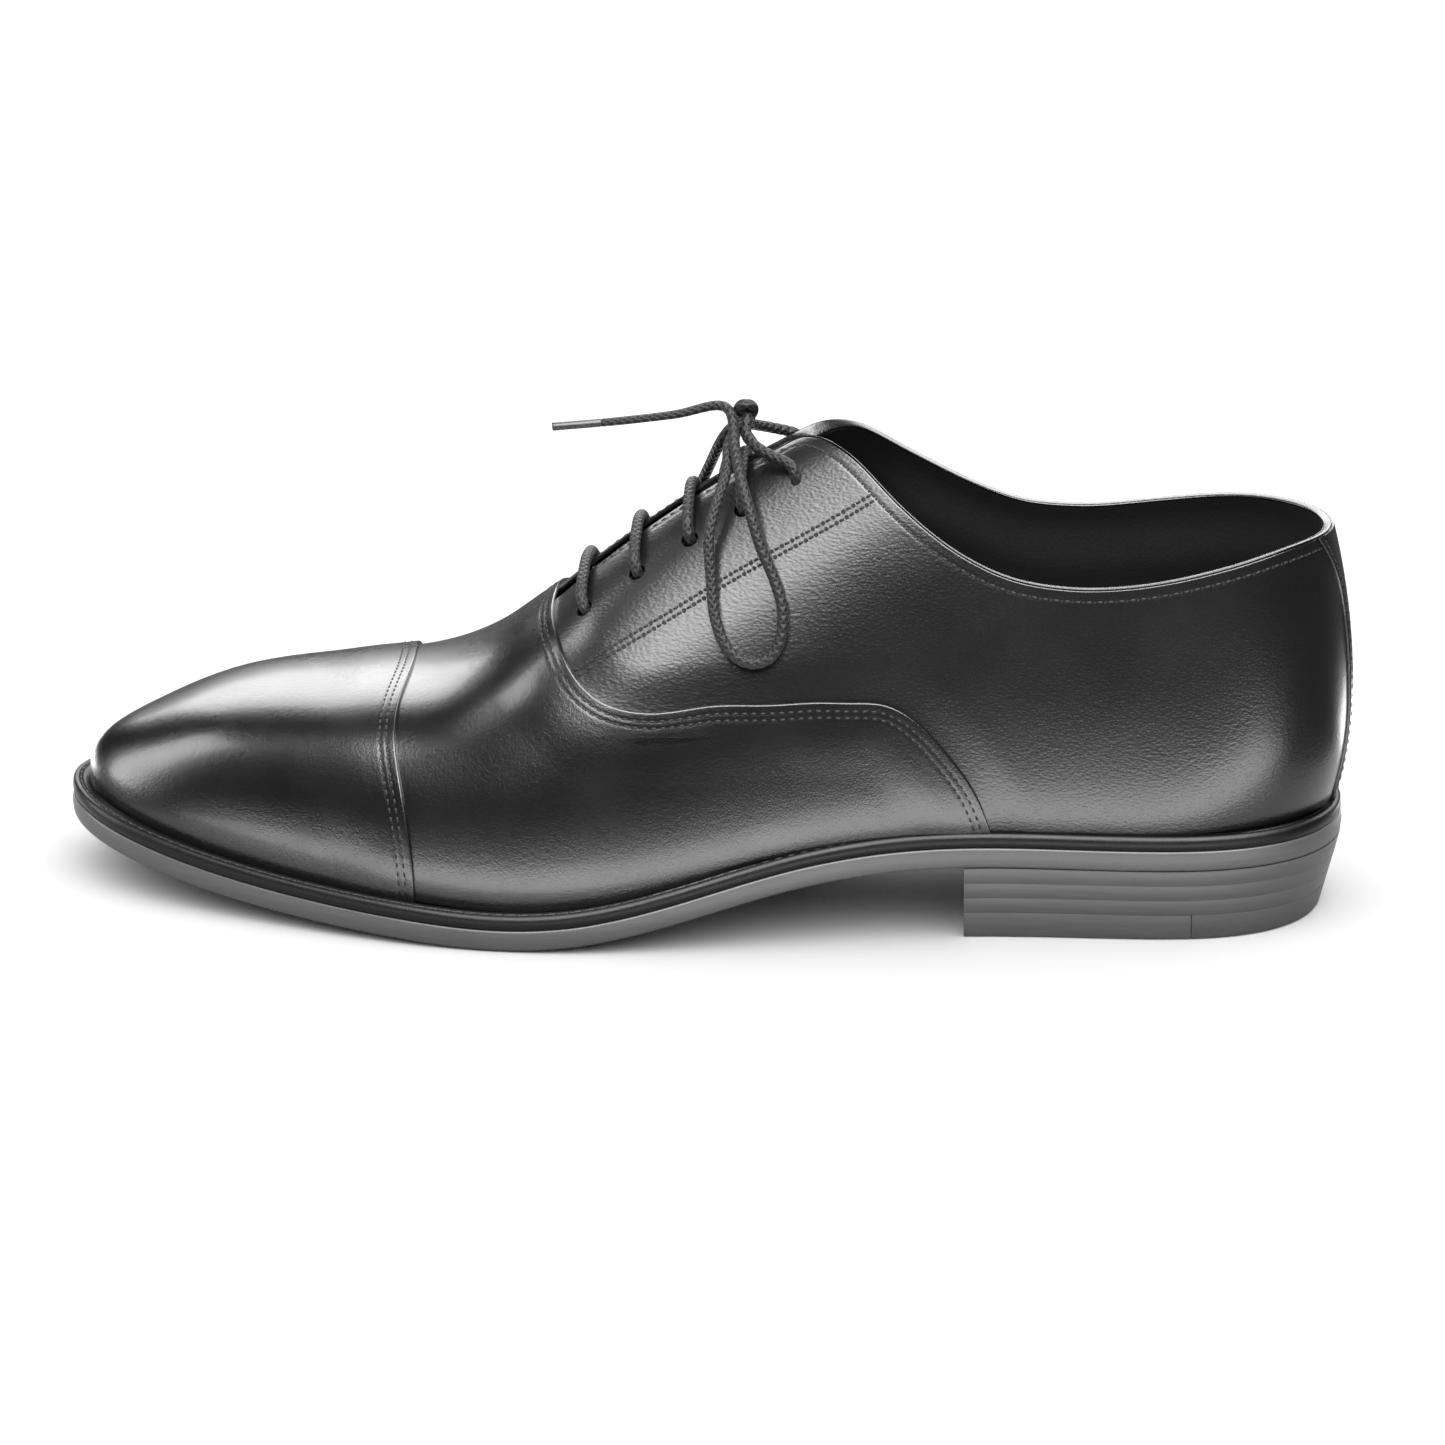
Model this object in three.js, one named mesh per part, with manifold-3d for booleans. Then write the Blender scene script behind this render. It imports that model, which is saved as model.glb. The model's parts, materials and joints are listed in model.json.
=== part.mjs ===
// Left lace-up oxford shoe with a toe cap: every layer of the upper follows one last surface.
// Millimetres, +Z up, the toe points to -X, the outer (lateral) side to -Y, the floor is z = 0.
import * as THREE from "three";
import Module from "manifold-3d";

const wasm = await Module();
wasm.setup();

// ---- driving dimensions ----
const SOLE_LENGTH = 302;
const BALL_WIDTH = 102;
const HEEL_HEIGHT = 17;
const INSTEP_HEIGHT = 112;
const BACK_HEIGHT = 92;
const OUTSOLE_T = 5;
const WELT_T = 3.4;
const LEATHER_T = 1.1;
const STIFFENER_T = 0.8;
const LINING_T = 0.9;
const LAYER_GAP = 0.5;
const STAY_GAP = 0.5;
const SEAM_GAP = 0.7;
const SEAM_STEP = 0.7;
const TOP_PIECE_T = 6;
const LIFT_GAP = 0.2;
const NAIL_D = 1.6;
const LACE_D = 2.6;
const EYELET_HOLE_D = 4.6;
const EYELET_COUNT = 5;
const EYELET_PITCH = 12.2;
const FIRST_EYELET = 125.2;
const EYELET_ANGLE = 67;
const FACING_ANGLE = 85;
const HEEL_BREAST = 215;
const CAP_SEAM = 80;
const THROAT = 117;

// ---- the last: stations d are millimetres from the toe tip of a shoe 302 long ----
const K = SOLE_LENGTH / 302;
const KW = BALL_WIDTH / 102;
const KH = INSTEP_HEIGHT / 112;
const SPREAD = Math.max(K, KW);
const RAD = Math.PI / 180;
const UPPER_FROM = 4;
const UPPER_TO = 303.5;

// Natural cubic spline through [station, value] pairs.
function spline(pairs, map = (d) => d) {
  const x = pairs.map((p) => map(p[0]));
  const y = pairs.map((p) => p[1]);
  const n = x.length;
  const m = new Array(n).fill(0);
  const c = new Array(n).fill(0);
  const r = new Array(n).fill(0);
  for (let i = 1; i < n - 1; i++) {
    const h0 = x[i] - x[i - 1];
    const h1 = x[i + 1] - x[i];
    const w = 2 * (h0 + h1) - h0 * c[i - 1];
    c[i] = h1 / w;
    r[i] = (6 * ((y[i + 1] - y[i]) / h1 - (y[i] - y[i - 1]) / h0) - h0 * r[i - 1]) / w;
  }
  for (let i = n - 2; i > 0; i--) m[i] = r[i] - c[i] * m[i + 1];
  return (d) => {
    const t = Math.min(Math.max(map(d), x[0]), x[n - 1]);
    let i = 0;
    while (i < n - 2 && t > x[i + 1]) i++;
    const h = x[i + 1] - x[i];
    const a = (x[i + 1] - t) / h;
    const b = (t - x[i]) / h;
    return a * y[i] + b * y[i + 1] + ((a ** 3 - a) * m[i] + (b ** 3 - b) * m[i + 1]) * h * h / 6;
  };
}

// The turn angle of a station: 0 at the toe tip, pi at the back.
function turn(from, to) {
  return (d) => Math.acos(Math.min(Math.max(1 - 2 * (d - from) / (to - from), -1), 1));
}
const soleTurn = turn(0, 302);
const upperTurn = turn(UPPER_FROM, UPPER_TO);
const stationAt = (t) => UPPER_FROM + (UPPER_TO - UPPER_FROM) * (1 - Math.cos(t)) / 2;

const centreLine = spline([
  [0, 8], [30, 5.6], [60, 2.6], [100, -1.8], [150, -6], [190, -5.4], [230, -1.6], [265, 0], [302, 0],
]);
const soleHalf = spline([
  [0, 0], [9, 21.5], [30, 34.8], [60, 44.6], [98, 51], [130, 48.3],
  [165, 40], [200, 33.4], [235, 33.5], [270, 33.4], [292, 23.6], [302, 0],
], soleTurn);
const soleBottom = spline([
  [0, 12.6], [25, 7.4], [55, 3.2], [85, 0.9], [105, 0.05], [125, 1.2],
  [150, 6.7], [175, 13.2], [205, 16.8], [240, 17], [302, 17.4],
]);
const upperHalf = spline([
  [4, 0], [12, 18.5], [32, 31.4], [60, 40.8], [98, 47.2], [130, 44.6],
  [165, 37.7], [200, 32.9], [235, 32.6], [270, 32.2], [294, 21.2], [303.5, 0],
], upperTurn);
const ridgeHeight = spline([
  [4, 22.7], [9, 31.6], [20, 37.8], [40, 45.6], [75, 50.6], [100, 59], [115, 70.4],
  [135, 86.9], [160, 104], [190, 120], [230, 138], [303.5, 146],
], upperTurn);
const ridgeSide = spline([
  [4, 8], [30, 6], [60, 4], [100, 0], [120, -3], [150, -2.5], [180, -1], [230, 0], [303.5, 0],
]);
const squareness = spline([[4, 0.05], [60, 0.22], [100, 0.16], [140, 0], [200, 0.02], [303.5, 0.1]]);
const shoulder = spline([[4, 0.1], [60, 0.3], [100, 0.2], [150, 0], [200, 0], [303.5, 0]]);
const FEATHER = OUTSOLE_T + 0.6;
const TUCK = 1.6;
const TUCK_FADE = 4;

const ease = (x) => {
  const t = Math.min(Math.max(x, 0), 1);
  return t * t * (3 - 2 * t);
};
const mix = (a, b, t) => a + (b - a) * t;
const soleZ = (d) => soleBottom(d) * (HEEL_HEIGHT / 17);
const featherZ = (d) => soleZ(d) + FEATHER;

// How far the back of the shoe leans forward at height z.
function lean(z) {
  const up = z - 50 * KH;
  return (up > 0 ? -0.003 : -0.006) * up * up;
}

// Point of the outer last surface at turn angle t and section angle phi (0 lateral feather, 90 ridge).
function lastPoint(t, phi) {
  const d = stationAt(t);
  const s = Math.sin(phi);
  const c = Math.cos(phi);
  const base = featherZ(d);
  const rise = (ridgeHeight(d) - soleBottom(d) - 5.6) * KH;
  const z = base + rise * s * (1 + shoulder(d) * c * c);
  const w = upperHalf(d);
  const tuck = TUCK * Math.exp(-(z - base) / TUCK_FADE) * c * Math.min(w / 12, 1);
  const mid = centreLine(d);
  const y = mid + (ridgeSide(d) - mid) * s * s - (w * c * (1 + squareness(d) * s * s) - tuck);
  const x = d * K + lean(z) * ease((d - 200) / 90);
  return new THREE.Vector3(x, y * KW, z);
}

// Outward direction of the last surface.
function outward(t, phi) {
  const e = 0.012;
  const tc = Math.min(Math.max(t, 0.03), Math.PI - 0.03);
  const du = lastPoint(tc + e, phi).sub(lastPoint(tc - e, phi));
  const lo = phi > Math.PI / 2 ? phi - e : Math.max(phi - e, 0);
  const hi = phi > Math.PI / 2 ? Math.min(phi + e, Math.PI) : phi + e;
  const dv = lastPoint(tc, hi).sub(lastPoint(tc, lo));
  return du.cross(dv).normalize();
}
// Point at height off (mm) outside the last surface; the toe tip and the back seam are on the centre plane.
function lastOffset(t, phi, off) {
  const n = outward(t, phi);
  if (t < 1e-6 || t > Math.PI - 1e-6) {
    n.add(outward(t, Math.PI - phi));
    n.y = 0;
    n.normalize();
  }
  return lastPoint(t, phi).addScaledVector(n, off);
}
// The same by station and degrees; side 1 is lateral, -1 the mirrored medial angle.
function at(d, deg, off, side = 1) {
  const phi = side > 0 ? deg * RAD : Math.PI - deg * RAD;
  return lastOffset(upperTurn(d), phi, off);
}
// Section angle in degrees of the height z at station d.
function angleOf(d, z) {
  const rise = (ridgeHeight(d) - soleBottom(d) - 5.6) * KH;
  return Math.asin(Math.min((z - featherZ(d)) / rise, 0.999)) / RAD;
}

// ---- solids ----
function meshOf(name, points, faces, look) {
  let volume = 0;
  for (const [a, b, c] of faces) volume += points[a].dot(points[b].clone().cross(points[c]));
  const index = faces.flatMap(([a, b, c]) => (volume < 0 ? [a, c, b] : [a, b, c]));
  const geometry = new THREE.BufferGeometry();
  geometry.setAttribute("position", new THREE.Float32BufferAttribute(points.flatMap((p) => p.toArray()), 3));
  geometry.setIndex(index);
  geometry.computeVertexNormals();
  const mesh = new THREE.Mesh(geometry, new THREE.MeshStandardMaterial(look));
  mesh.name = name;
  return mesh;
}

// A closed sheet: f(u, v) gives [outer point, inner point]; coincident outer points are joined.
function sheet(name, nu, nv, f, look) {
  const outer = [];
  const inner = [];
  const seen = new Map();
  const id = [];
  for (let i = 0; i <= nu; i++) {
    for (let j = 0; j <= nv; j++) {
      const [p, q] = f(i / nu, j / nv);
      const key = p.toArray().map((c) => Math.round(c * 500)).join();
      if (!seen.has(key)) {
        seen.set(key, outer.length);
        outer.push(p);
        inner.push(q);
      }
      id.push(seen.get(key));
    }
  }
  const faces = [];
  const add = (a, b, c) => {
    if (a !== b && b !== c && c !== a) faces.push([a, b, c]);
  };
  for (let i = 0; i < nu; i++) {
    for (let j = 0; j < nv; j++) {
      const a = id[i * (nv + 1) + j];
      const b = id[(i + 1) * (nv + 1) + j];
      const c = id[(i + 1) * (nv + 1) + j + 1];
      const d = id[i * (nv + 1) + j + 1];
      add(a, b, c);
      add(a, c, d);
    }
  }
  const n = outer.length;
  const edges = new Map();
  for (const [a, b, c] of faces)
    for (const [p, q] of [[a, b], [b, c], [c, a]]) edges.set(p + ":" + q, [p, q]);
  const walls = [];
  for (const [p, q] of edges.values())
    if (!edges.has(q + ":" + p)) walls.push([q, p, p + n], [q, p + n, q + n]);
  const back = faces.map(([a, b, c]) => [a + n, c + n, b + n]);
  return meshOf(name, [...outer, ...inner], [...faces, ...back, ...walls], look);
}

// A solid between two closed outlines of equal point count (bottom and top), each convex enough to fan.
function prism(name, low, high, look) {
  const n = low.length;
  const mid = (ring) => ring.reduce((s, p) => s.add(p), new THREE.Vector3()).divideScalar(n);
  const points = [...low, ...high, mid(low), mid(high)];
  const faces = [];
  for (let i = 0; i < n; i++) {
    const j = (i + 1) % n;
    faces.push([i, j, n + j], [i, n + j, n + i], [j, i, 2 * n], [n + i, n + j, 2 * n + 1]);
  }
  return meshOf(name, points, faces, look);
}

// A closed ring swept by a four-sided section: f(t) gives its four corners for t from 0 to 2 pi.
function ringOf(name, count, f, look) {
  const points = [];
  const faces = [];
  for (let i = 0; i < count; i++) points.push(...f(2 * Math.PI * i / count));
  for (let i = 0; i < count; i++) {
    for (let k = 0; k < 4; k++) {
      const a = i * 4 + k;
      const b = i * 4 + (k + 1) % 4;
      const c = ((i + 1) % count) * 4 + (k + 1) % 4;
      const d = ((i + 1) % count) * 4 + k;
      faces.push([a, b, c], [a, c, d]);
    }
  }
  return meshOf(name, points, faces, look);
}

// A round cord along a smooth curve through the points; radius may change along it.
function cord(name, through, radius, steps, look, sides = 6) {
  const curve = new THREE.CatmullRomCurve3(through, false, "centripetal");
  const frames = curve.computeFrenetFrames(steps, false);
  const points = [];
  const faces = [];
  for (let i = 0; i <= steps; i++) {
    const centre = curve.getPointAt(i / steps);
    const r = typeof radius === "function" ? radius(i / steps) : radius;
    for (let k = 0; k < sides; k++) {
      const a = 2 * Math.PI * k / sides;
      points.push(centre.clone()
        .addScaledVector(frames.normals[i], r * Math.cos(a))
        .addScaledVector(frames.binormals[i], r * Math.sin(a)));
    }
  }
  const first = points.push(curve.getPointAt(0)) - 1;
  const last = points.push(curve.getPointAt(1)) - 1;
  for (let i = 0; i < steps; i++) {
    for (let k = 0; k < sides; k++) {
      const a = i * sides + k;
      const b = i * sides + (k + 1) % sides;
      faces.push([a, b, b + sides], [a, b + sides, a + sides]);
    }
  }
  for (let k = 0; k < sides; k++) {
    faces.push([(k + 1) % sides, k, first]);
    faces.push([steps * sides + k, steps * sides + (k + 1) % sides, last]);
  }
  return meshOf(name, points, faces, look);
}

// A short round bar along an axis, and a ring round an axis.
function bar(name, centre, axis, radius, length, look, sides = 14) {
  const g = new THREE.CylinderGeometry(radius, radius, length, sides);
  return placed(name, g, centre, axis, look);
}
function washer(name, centre, axis, hole, rim, thickness, look) {
  const profile = [[hole, -1], [rim, -1], [rim, 1], [hole, 1], [hole, -1]];
  const g = new THREE.LatheGeometry(profile.map(([r, h]) => new THREE.Vector2(r, h * thickness / 2)), 10);
  return placed(name, g, centre, axis, look);
}
function placed(name, g, centre, axis, look) {
  g.applyQuaternion(new THREE.Quaternion().setFromUnitVectors(new THREE.Vector3(0, 1, 0), axis));
  g.translate(centre.x, centre.y, centre.z);
  const mesh = new THREE.Mesh(g, new THREE.MeshStandardMaterial(look));
  mesh.name = name;
  return mesh;
}

// Cut shapes out of a mesh with the boolean kernel.
function solidOf(mesh) {
  const g = mesh.geometry.index ? mesh.geometry.toNonIndexed() : mesh.geometry;
  const seen = new Map();
  const points = [];
  const triangles = [];
  const pos = g.getAttribute("position");
  for (let i = 0; i < pos.count; i++) {
    const p = [pos.getX(i), pos.getY(i), pos.getZ(i)];
    const key = p.map((c) => Math.round(c * 1000)).join();
    if (!seen.has(key)) {
      seen.set(key, points.length / 3);
      points.push(...p);
    }
    triangles.push(seen.get(key));
  }
  const kept = [];
  for (let i = 0; i < triangles.length; i += 3) {
    const [a, b, c] = triangles.slice(i, i + 3);
    if (a !== b && b !== c && c !== a) kept.push(a, b, c);
  }
  return new wasm.Manifold(new wasm.Mesh({
    numProp: 3,
    vertProperties: new Float32Array(points),
    triVerts: new Uint32Array(kept),
  }));
}
function cut(mesh, tools) {
  let solid = solidOf(mesh);
  for (const tool of tools) solid = solid.subtract(solidOf(tool));
  const out = solid.getMesh();
  const geometry = new THREE.BufferGeometry();
  geometry.setAttribute("position", new THREE.BufferAttribute(new Float32Array(out.vertProperties), 3));
  geometry.setIndex(new THREE.BufferAttribute(new Uint32Array(out.triVerts), 1));
  mesh.geometry = geometry.toNonIndexed();
  mesh.geometry.computeVertexNormals();
  return mesh;
}

// ---- looks ----
const BOX_LEATHER = { color: 0x17171a, roughness: 0.25 };
const GRAIN_LEATHER = { color: 0x1b1b1d, roughness: 0.4 };
const LINING = { color: 0x141414, roughness: 0.85 };
const STIFF = { color: 0xb9a184, roughness: 0.9 };
const SOLE_LEATHER = { color: 0x2b2b2c, roughness: 0.5 };
const WELT = { color: 0x0d0d0e, roughness: 0.6 };
const CORK = { color: 0x8a6a45, roughness: 0.95 };
const STEEL = { color: 0x9a9ea3, metalness: 1, roughness: 0.35 };
const BRASS = { color: 0xb5924c, metalness: 1, roughness: 0.3 };
const RUBBER = { color: 0x161616, roughness: 0.75 };
const COTTON = { color: 0x1f1f21, roughness: 0.6 };
const PLASTIC = { color: 0x101011, roughness: 0.3 };

// ---- depth of each layer below the last surface ----
const UNDER = SEAM_STEP - LEATHER_T - SEAM_GAP * SPREAD;
const STIFF_OUT = UNDER - LEATHER_T - LAYER_GAP;
const STIFF_IN = STIFF_OUT - STIFFENER_T;
const LINING_OUT = STIFF_IN - LAYER_GAP;
const LINING_IN = LINING_OUT - LINING_T;
const STAY_OUT = -LEATHER_T - 0.35;
const STAY_IN = STAY_OUT - 0.6;
const RIM_OUT = STAY_IN - STAY_GAP * SPREAD * LEATHER_T / 1.1;
const RIM_IN = RIM_OUT - LINING_T;
const RING_AT = RIM_IN - 0.9;
const RUN_AT = RING_AT - 0.35 - 0.35 - LACE_D / 2;
const TONGUE_OUT = RUN_AT - LACE_D / 2 - 0.6 - (SEAM_GAP + 0.6) * (SPREAD - 1);
const TONGUE_T = 1.2;
const TONGUE_LINING_T = 0.8;
const TONGUE_GAP = 0.4 * LACE_D / 2.6;

// ---- pattern lines: [station, section degrees] ----
// Rear edge of the vamp from the lateral feather up the wing to the throat.
const WING = [
  [222.5, 0], [217, 7], [212, 11], [206, 15.3], [201.5, 18], [196, 20.3], [188, 22], [181, 23.5], [169, 26],
  [156, 29.5], [143, 32.3], [136, 35.2], [131.5, 38.2], [128, 41.7], [124, 48], [119.8, 60.5], [117.8, 71], [THROAT, 90],
];
// The quarter's lower edge, hidden 8 mm under the vamp and then along the feather.
const QUARTER_LOW = [
  [111.5, 75], [113.5, 60], [118, 44.5], [124, 35], [131, 29.5], [143, 25], [156, 21.5], [169, 18.5], [181, 16],
  [190, 13.5], [197, 9.5], [203, 4.5], [208, 0], [222, 0], [240, 0], [258, 0], [276, 0], [290, 0], [299, 0], [303.5, 0],
];
// Heights of the topline from the front corner of the facing to the back.
const TOPLINE_LATERAL = spline([
  [172, 110.6], [178, 112.6], [183.5, 112], [187, 110.5], [191.5, 107.4], [196, 103.5], [201.5, 98.9], [209.5, 93],
  [218, 88.2], [226, 85.1], [234.5, 83.5], [243, 83], [252.5, 83.5], [265, 85.3], [274, 87.1], [283, 89],
  [292, 90.9], [299, 91.8], [303.5, 92],
]);
const TOPLINE_MEDIAL = spline([
  [172, 110.6], [178, 112.6], [183.5, 112], [187, 110.6], [191.5, 107.6], [196, 104.2], [201.5, 100.4], [209.5, 95.4],
  [218, 91], [226, 88], [234.5, 86.6], [243, 86.2], [252.5, 86.8], [265, 88.3], [274, 89.6], [283, 90.8],
  [292, 91.6], [299, 92], [303.5, 92],
]);
const toplineZ = (d, side) => {
  const z = (side > 0 ? TOPLINE_LATERAL : TOPLINE_MEDIAL)(d);
  return mix(z, z * BACK_HEIGHT / 92, ease((d - 190) / 60)) * KH;
};
// Section angle of the free upper edge: along the facing, then along the topline.
function edgeAngle(d, side) {
  if (d <= 170) return FACING_ANGLE;
  return mix(FACING_ANGLE, angleOf(d, toplineZ(d, side)), ease((d - 170) / 8));
}

// A line of [station, degrees] pairs by share of its real length along the last.
function line(pairs, side = 1) {
  const places = pairs.map(([d, deg]) => at(d, deg, 0, side));
  const run = [0];
  for (let i = 1; i < pairs.length; i++) run.push(run[i - 1] + places[i].distanceTo(places[i - 1]));
  const total = run[run.length - 1];
  return (share) => {
    const want = share * total;
    let i = 0;
    while (i < run.length - 2 && want > run[i + 1]) i++;
    const f = (want - run[i]) / (run[i + 1] - run[i]);
    return [mix(upperTurn(pairs[i][0]), upperTurn(pairs[i + 1][0]), f), mix(pairs[i][1], pairs[i + 1][1], f)];
  };
}
const angle = (deg, side) => (side > 0 ? deg * RAD : Math.PI - deg * RAD);

// Vamp wing edge for share v of the whole width, lateral feather to medial feather.
const wing = line(WING);
function wingAt(v) {
  const [t, deg] = wing(v < 0.5 ? 2 * v : 2 - 2 * v);
  return [t, v < 0.5 ? deg * RAD : Math.PI - deg * RAD];
}
// Front seam of the cap: straight across, swept back a little at the feather.
const capTurn = (phi) => upperTurn(CAP_SEAM + 7.5 * Math.abs(Math.cos(phi)) ** 4 + 2.5 * Math.sin(phi) ** 8);

// ---- sole unit ----
function solePoint(t, across, z) {
  const d = 302 * (1 - Math.cos(t)) / 2;
  return new THREE.Vector3(d * K, (centreLine(d) + soleHalf(d) * across) * KW, z(d));
}
function outsole() {
  return sheet("outsole", 40, 2, (u, v) => [
    solePoint(Math.PI * u, 2 * v - 1, (d) => soleZ(d) + OUTSOLE_T),
    solePoint(Math.PI * u, 2 * v - 1, soleZ),
  ], SOLE_LEATHER);
}
function welt() {
  return ringOf("welt", 80, (t) => {
    const far = t > Math.PI;
    const half = far ? 2 * Math.PI - t : t;
    const side = far ? 1 : -1;
    const low = solePoint(half, side * 0.996, (d) => soleZ(d) + OUTSOLE_T + 0.25);
    const high = low.clone();
    high.z += WELT_T - 0.25;
    const deg = 3.5 * Math.min(1, 60 / (ridgeHeight(stationAt(half)) - soleBottom(stationAt(half))));
    const wall = lastOffset(half, far ? Math.PI - deg * RAD : deg * RAD, 0.55);
    const foot = lastOffset(half, far ? Math.PI : 0, 0.55);
    const reach = wall.clone().lerp(foot, 0.15);
    const rise = soleZ(reach.x / K) - soleZ(low.x / K);
    const inLow = new THREE.Vector3(reach.x, reach.y, low.z + rise);
    const inHigh = new THREE.Vector3(reach.x, reach.y, high.z + rise);
    return [low, high, inHigh, inLow];
  }, WELT);
}
// Flat boards inside the upper: inset is measured in plan from the feather line.
function board(name, from, to, inset, low, thick, look, steps = 26) {
  const t0 = from === null ? 0 : upperTurn(from);
  const t1 = to === null ? Math.PI : upperTurn(to);
  return sheet(name, steps, 2, (u, v) => {
    const t = mix(t0, t1, u);
    const d = stationAt(t);
    const share = (d - UPPER_FROM) / (UPPER_TO - UPPER_FROM);
    const station = mix(UPPER_FROM + inset / K, UPPER_TO - (inset + 4) / K, share);
    const w = Math.max(upperHalf(d) - (inset / KW) * Math.sin(t) ** 0.25, 0);
    const y = centreLine(station) + (2 * v - 1) * w;
    const z = soleZ(station) + low;
    const p = new THREE.Vector3(station * K, y * KW, z + thick);
    return [p, new THREE.Vector3(p.x, p.y, z)];
  }, look);
}
function shank() {
  return sheet("shank", 12, 2, (u, v) => {
    const d = 152 + 108 * u;
    const w = 7 * (0.75 + 0.25 * Math.sin(Math.PI * u));
    const z = soleZ(d) + OUTSOLE_T + 0.5 + 0.3 * (1 - (2 * v - 1) ** 2);
    const p = new THREE.Vector3(d * K, (centreLine(d) + (2 * v - 1) * w) * KW, z + 1);
    return [p, new THREE.Vector3(p.x, p.y, z)];
  }, STEEL);
}

// ---- heel ----
// Outline of the heel at height z, tapering a little towards the floor.
function heelRing(z, count = 26) {
  const k = 1 - z / HEEL_HEIGHT;
  const ring = [];
  const t0 = soleTurn(HEEL_BREAST);
  for (let i = 0; i <= count; i++) {
    const s = mix(t0, 2 * Math.PI - t0, i / count);
    const far = s > Math.PI;
    const t = far ? 2 * Math.PI - s : s;
    const d = 302 * (1 - Math.cos(t)) / 2;
    const across = (far ? 1 : -1) * soleHalf(d) * (1 - 0.035 * k);
    const back = 4.5 * k * ((d - HEEL_BREAST) / 87) ** 2;
    ring.push(new THREE.Vector3((d - back) * K, (centreLine(d) + across) * KW, z));
  }
  return ring;
}
const RUBBER_FROM = 268;
function nailSpots() {
  return [[226, -20], [226, 20], [246, -22], [246, 22], [262, 0]].map(([d, y]) => [d * K, y * KW]);
}
function nail(i, radius, low, high, look) {
  const [x, y] = nailSpots()[i];
  const c = new THREE.Vector3(x, y, (low + high) / 2);
  return bar("heel_nail_" + (i + 1), c, new THREE.Vector3(0, 0, 1), radius, high - low, look, 12);
}
function heel() {
  const lift = (HEEL_HEIGHT - TOP_PIECE_T) / 3;
  const holes = [0, 1, 2, 3, 4].map((i) => nail(i, NAIL_D / 2 + 0.3, -1, TOP_PIECE_T + lift * 0.9, BRASS));
  const parts = [];
  for (let i = 0; i < 3; i++) {
    const high = HEEL_HEIGHT - lift * i;
    const low = high - lift + LIFT_GAP;
    const top = heelRing(high);
    if (i === 0) for (const p of top) p.z = soleZ(p.x / K) - LIFT_GAP;
    const solid = prism("heel_lift_" + (i + 1), heelRing(low), top, SOLE_LEATHER);
    parts.push(i === 2 ? cut(solid, holes) : solid);
  }
  const high = TOP_PIECE_T;
  const whole = prism("top_piece", heelRing(0), heelRing(high), SOLE_LEATHER);
  const wedge = new THREE.Mesh(new THREE.BoxGeometry(120, 160, 60));
  wedge.geometry.translate(RUBBER_FROM * K + 60, 0, 0);
  wedge.name = "wedge";
  const seat = cut(whole, [wedge, ...holes]);
  const tip = prism("rubber_heel_tip", heelRing(0), heelRing(high), RUBBER);
  const fore = new THREE.Mesh(new THREE.BoxGeometry(120, 160, 60));
  fore.geometry.translate(RUBBER_FROM * K + LIFT_GAP - 60, 0, 0);
  fore.name = "fore";
  parts.push(seat, cut(tip, [fore]));
  for (let i = 0; i < 5; i++) parts.push(nail(i, NAIL_D / 2, 0.3, TOP_PIECE_T + lift * 0.75, BRASS));
  return parts;
}

// ---- upper ----
function toeCap() {
  return sheet("toe_cap", 12, 18, (u, v) => {
    const phi = Math.PI * v;
    const end = capTurn(phi);
    const t = end * (1 - (1 - u) ** 1.25);
    const near = (stationAt(end) - stationAt(t) - 11.5) / 14;
    const out = SEAM_STEP * (1 - ease(near));
    return [lastOffset(t, phi, out), lastOffset(t, phi, out - LEATHER_T)];
  }, BOX_LEATHER);
}
function vamp() {
  return sheet("vamp", 13, 28, (u, v) => {
    const front = upperTurn(stationAt(capTurn(Math.PI * v)) - 8);
    const [tb, pb] = wingAt(v);
    const t = mix(front, tb, u);
    const phi = mix(Math.PI * v, pb, u);
    const fromCap = (stationAt(t) - stationAt(capTurn(phi)) - 2) / 9;
    const fromWing = (wingDistance(t, phi) - 12 * SPREAD) / (12 * SPREAD);
    const out = mix(UNDER, 0, ease(fromCap)) + SEAM_STEP * (1 - ease(fromWing));
    return [lastOffset(t, phi, out), lastOffset(t, phi, out - LEATHER_T)];
  }, BOX_LEATHER);
}
// Free upper edge of a quarter as [station, degrees], front of the facing to the back.
function upperEdge(side) {
  const stations = [
    111.5, 116, 125, 138, 150, 162, 170, 174, 178, 182, 186, 190, 195, 201, 209,
    218, 228, 238, 248, 260, 272, 284, 294, 300, UPPER_TO,
  ];
  return stations.map((d) => [d, edgeAngle(d, side)]);
}
// Section angle of the vamp's rear edge at a station: the quarter is covered below it.
function wingAngle(d) {
  if (d <= THROAT) return 90;
  for (let i = 1; i < WING.length; i++) {
    const [d0, a0] = WING[i - 1];
    const [d1, a1] = WING[i];
    if (d <= d0 && d >= d1) return mix(a0, a1, (d0 - d) / (d0 - d1));
  }
  return -10;
}
// Distance in mm from a spot of the last to the vamp's rear edge on the same side.
const wingSpots = [1, -1].map((side) => {
  const spots = [];
  for (let i = 0; i <= 90; i++) {
    const [t, deg] = wing(i / 90);
    spots.push(lastPoint(t, angle(deg, side)));
  }
  return spots;
});
function wingDistance(t, phi) {
  const spot = lastPoint(t, phi);
  return Math.min(...wingSpots[phi > Math.PI / 2 ? 1 : 0].map((p) => p.distanceTo(spot)));
}
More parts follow.
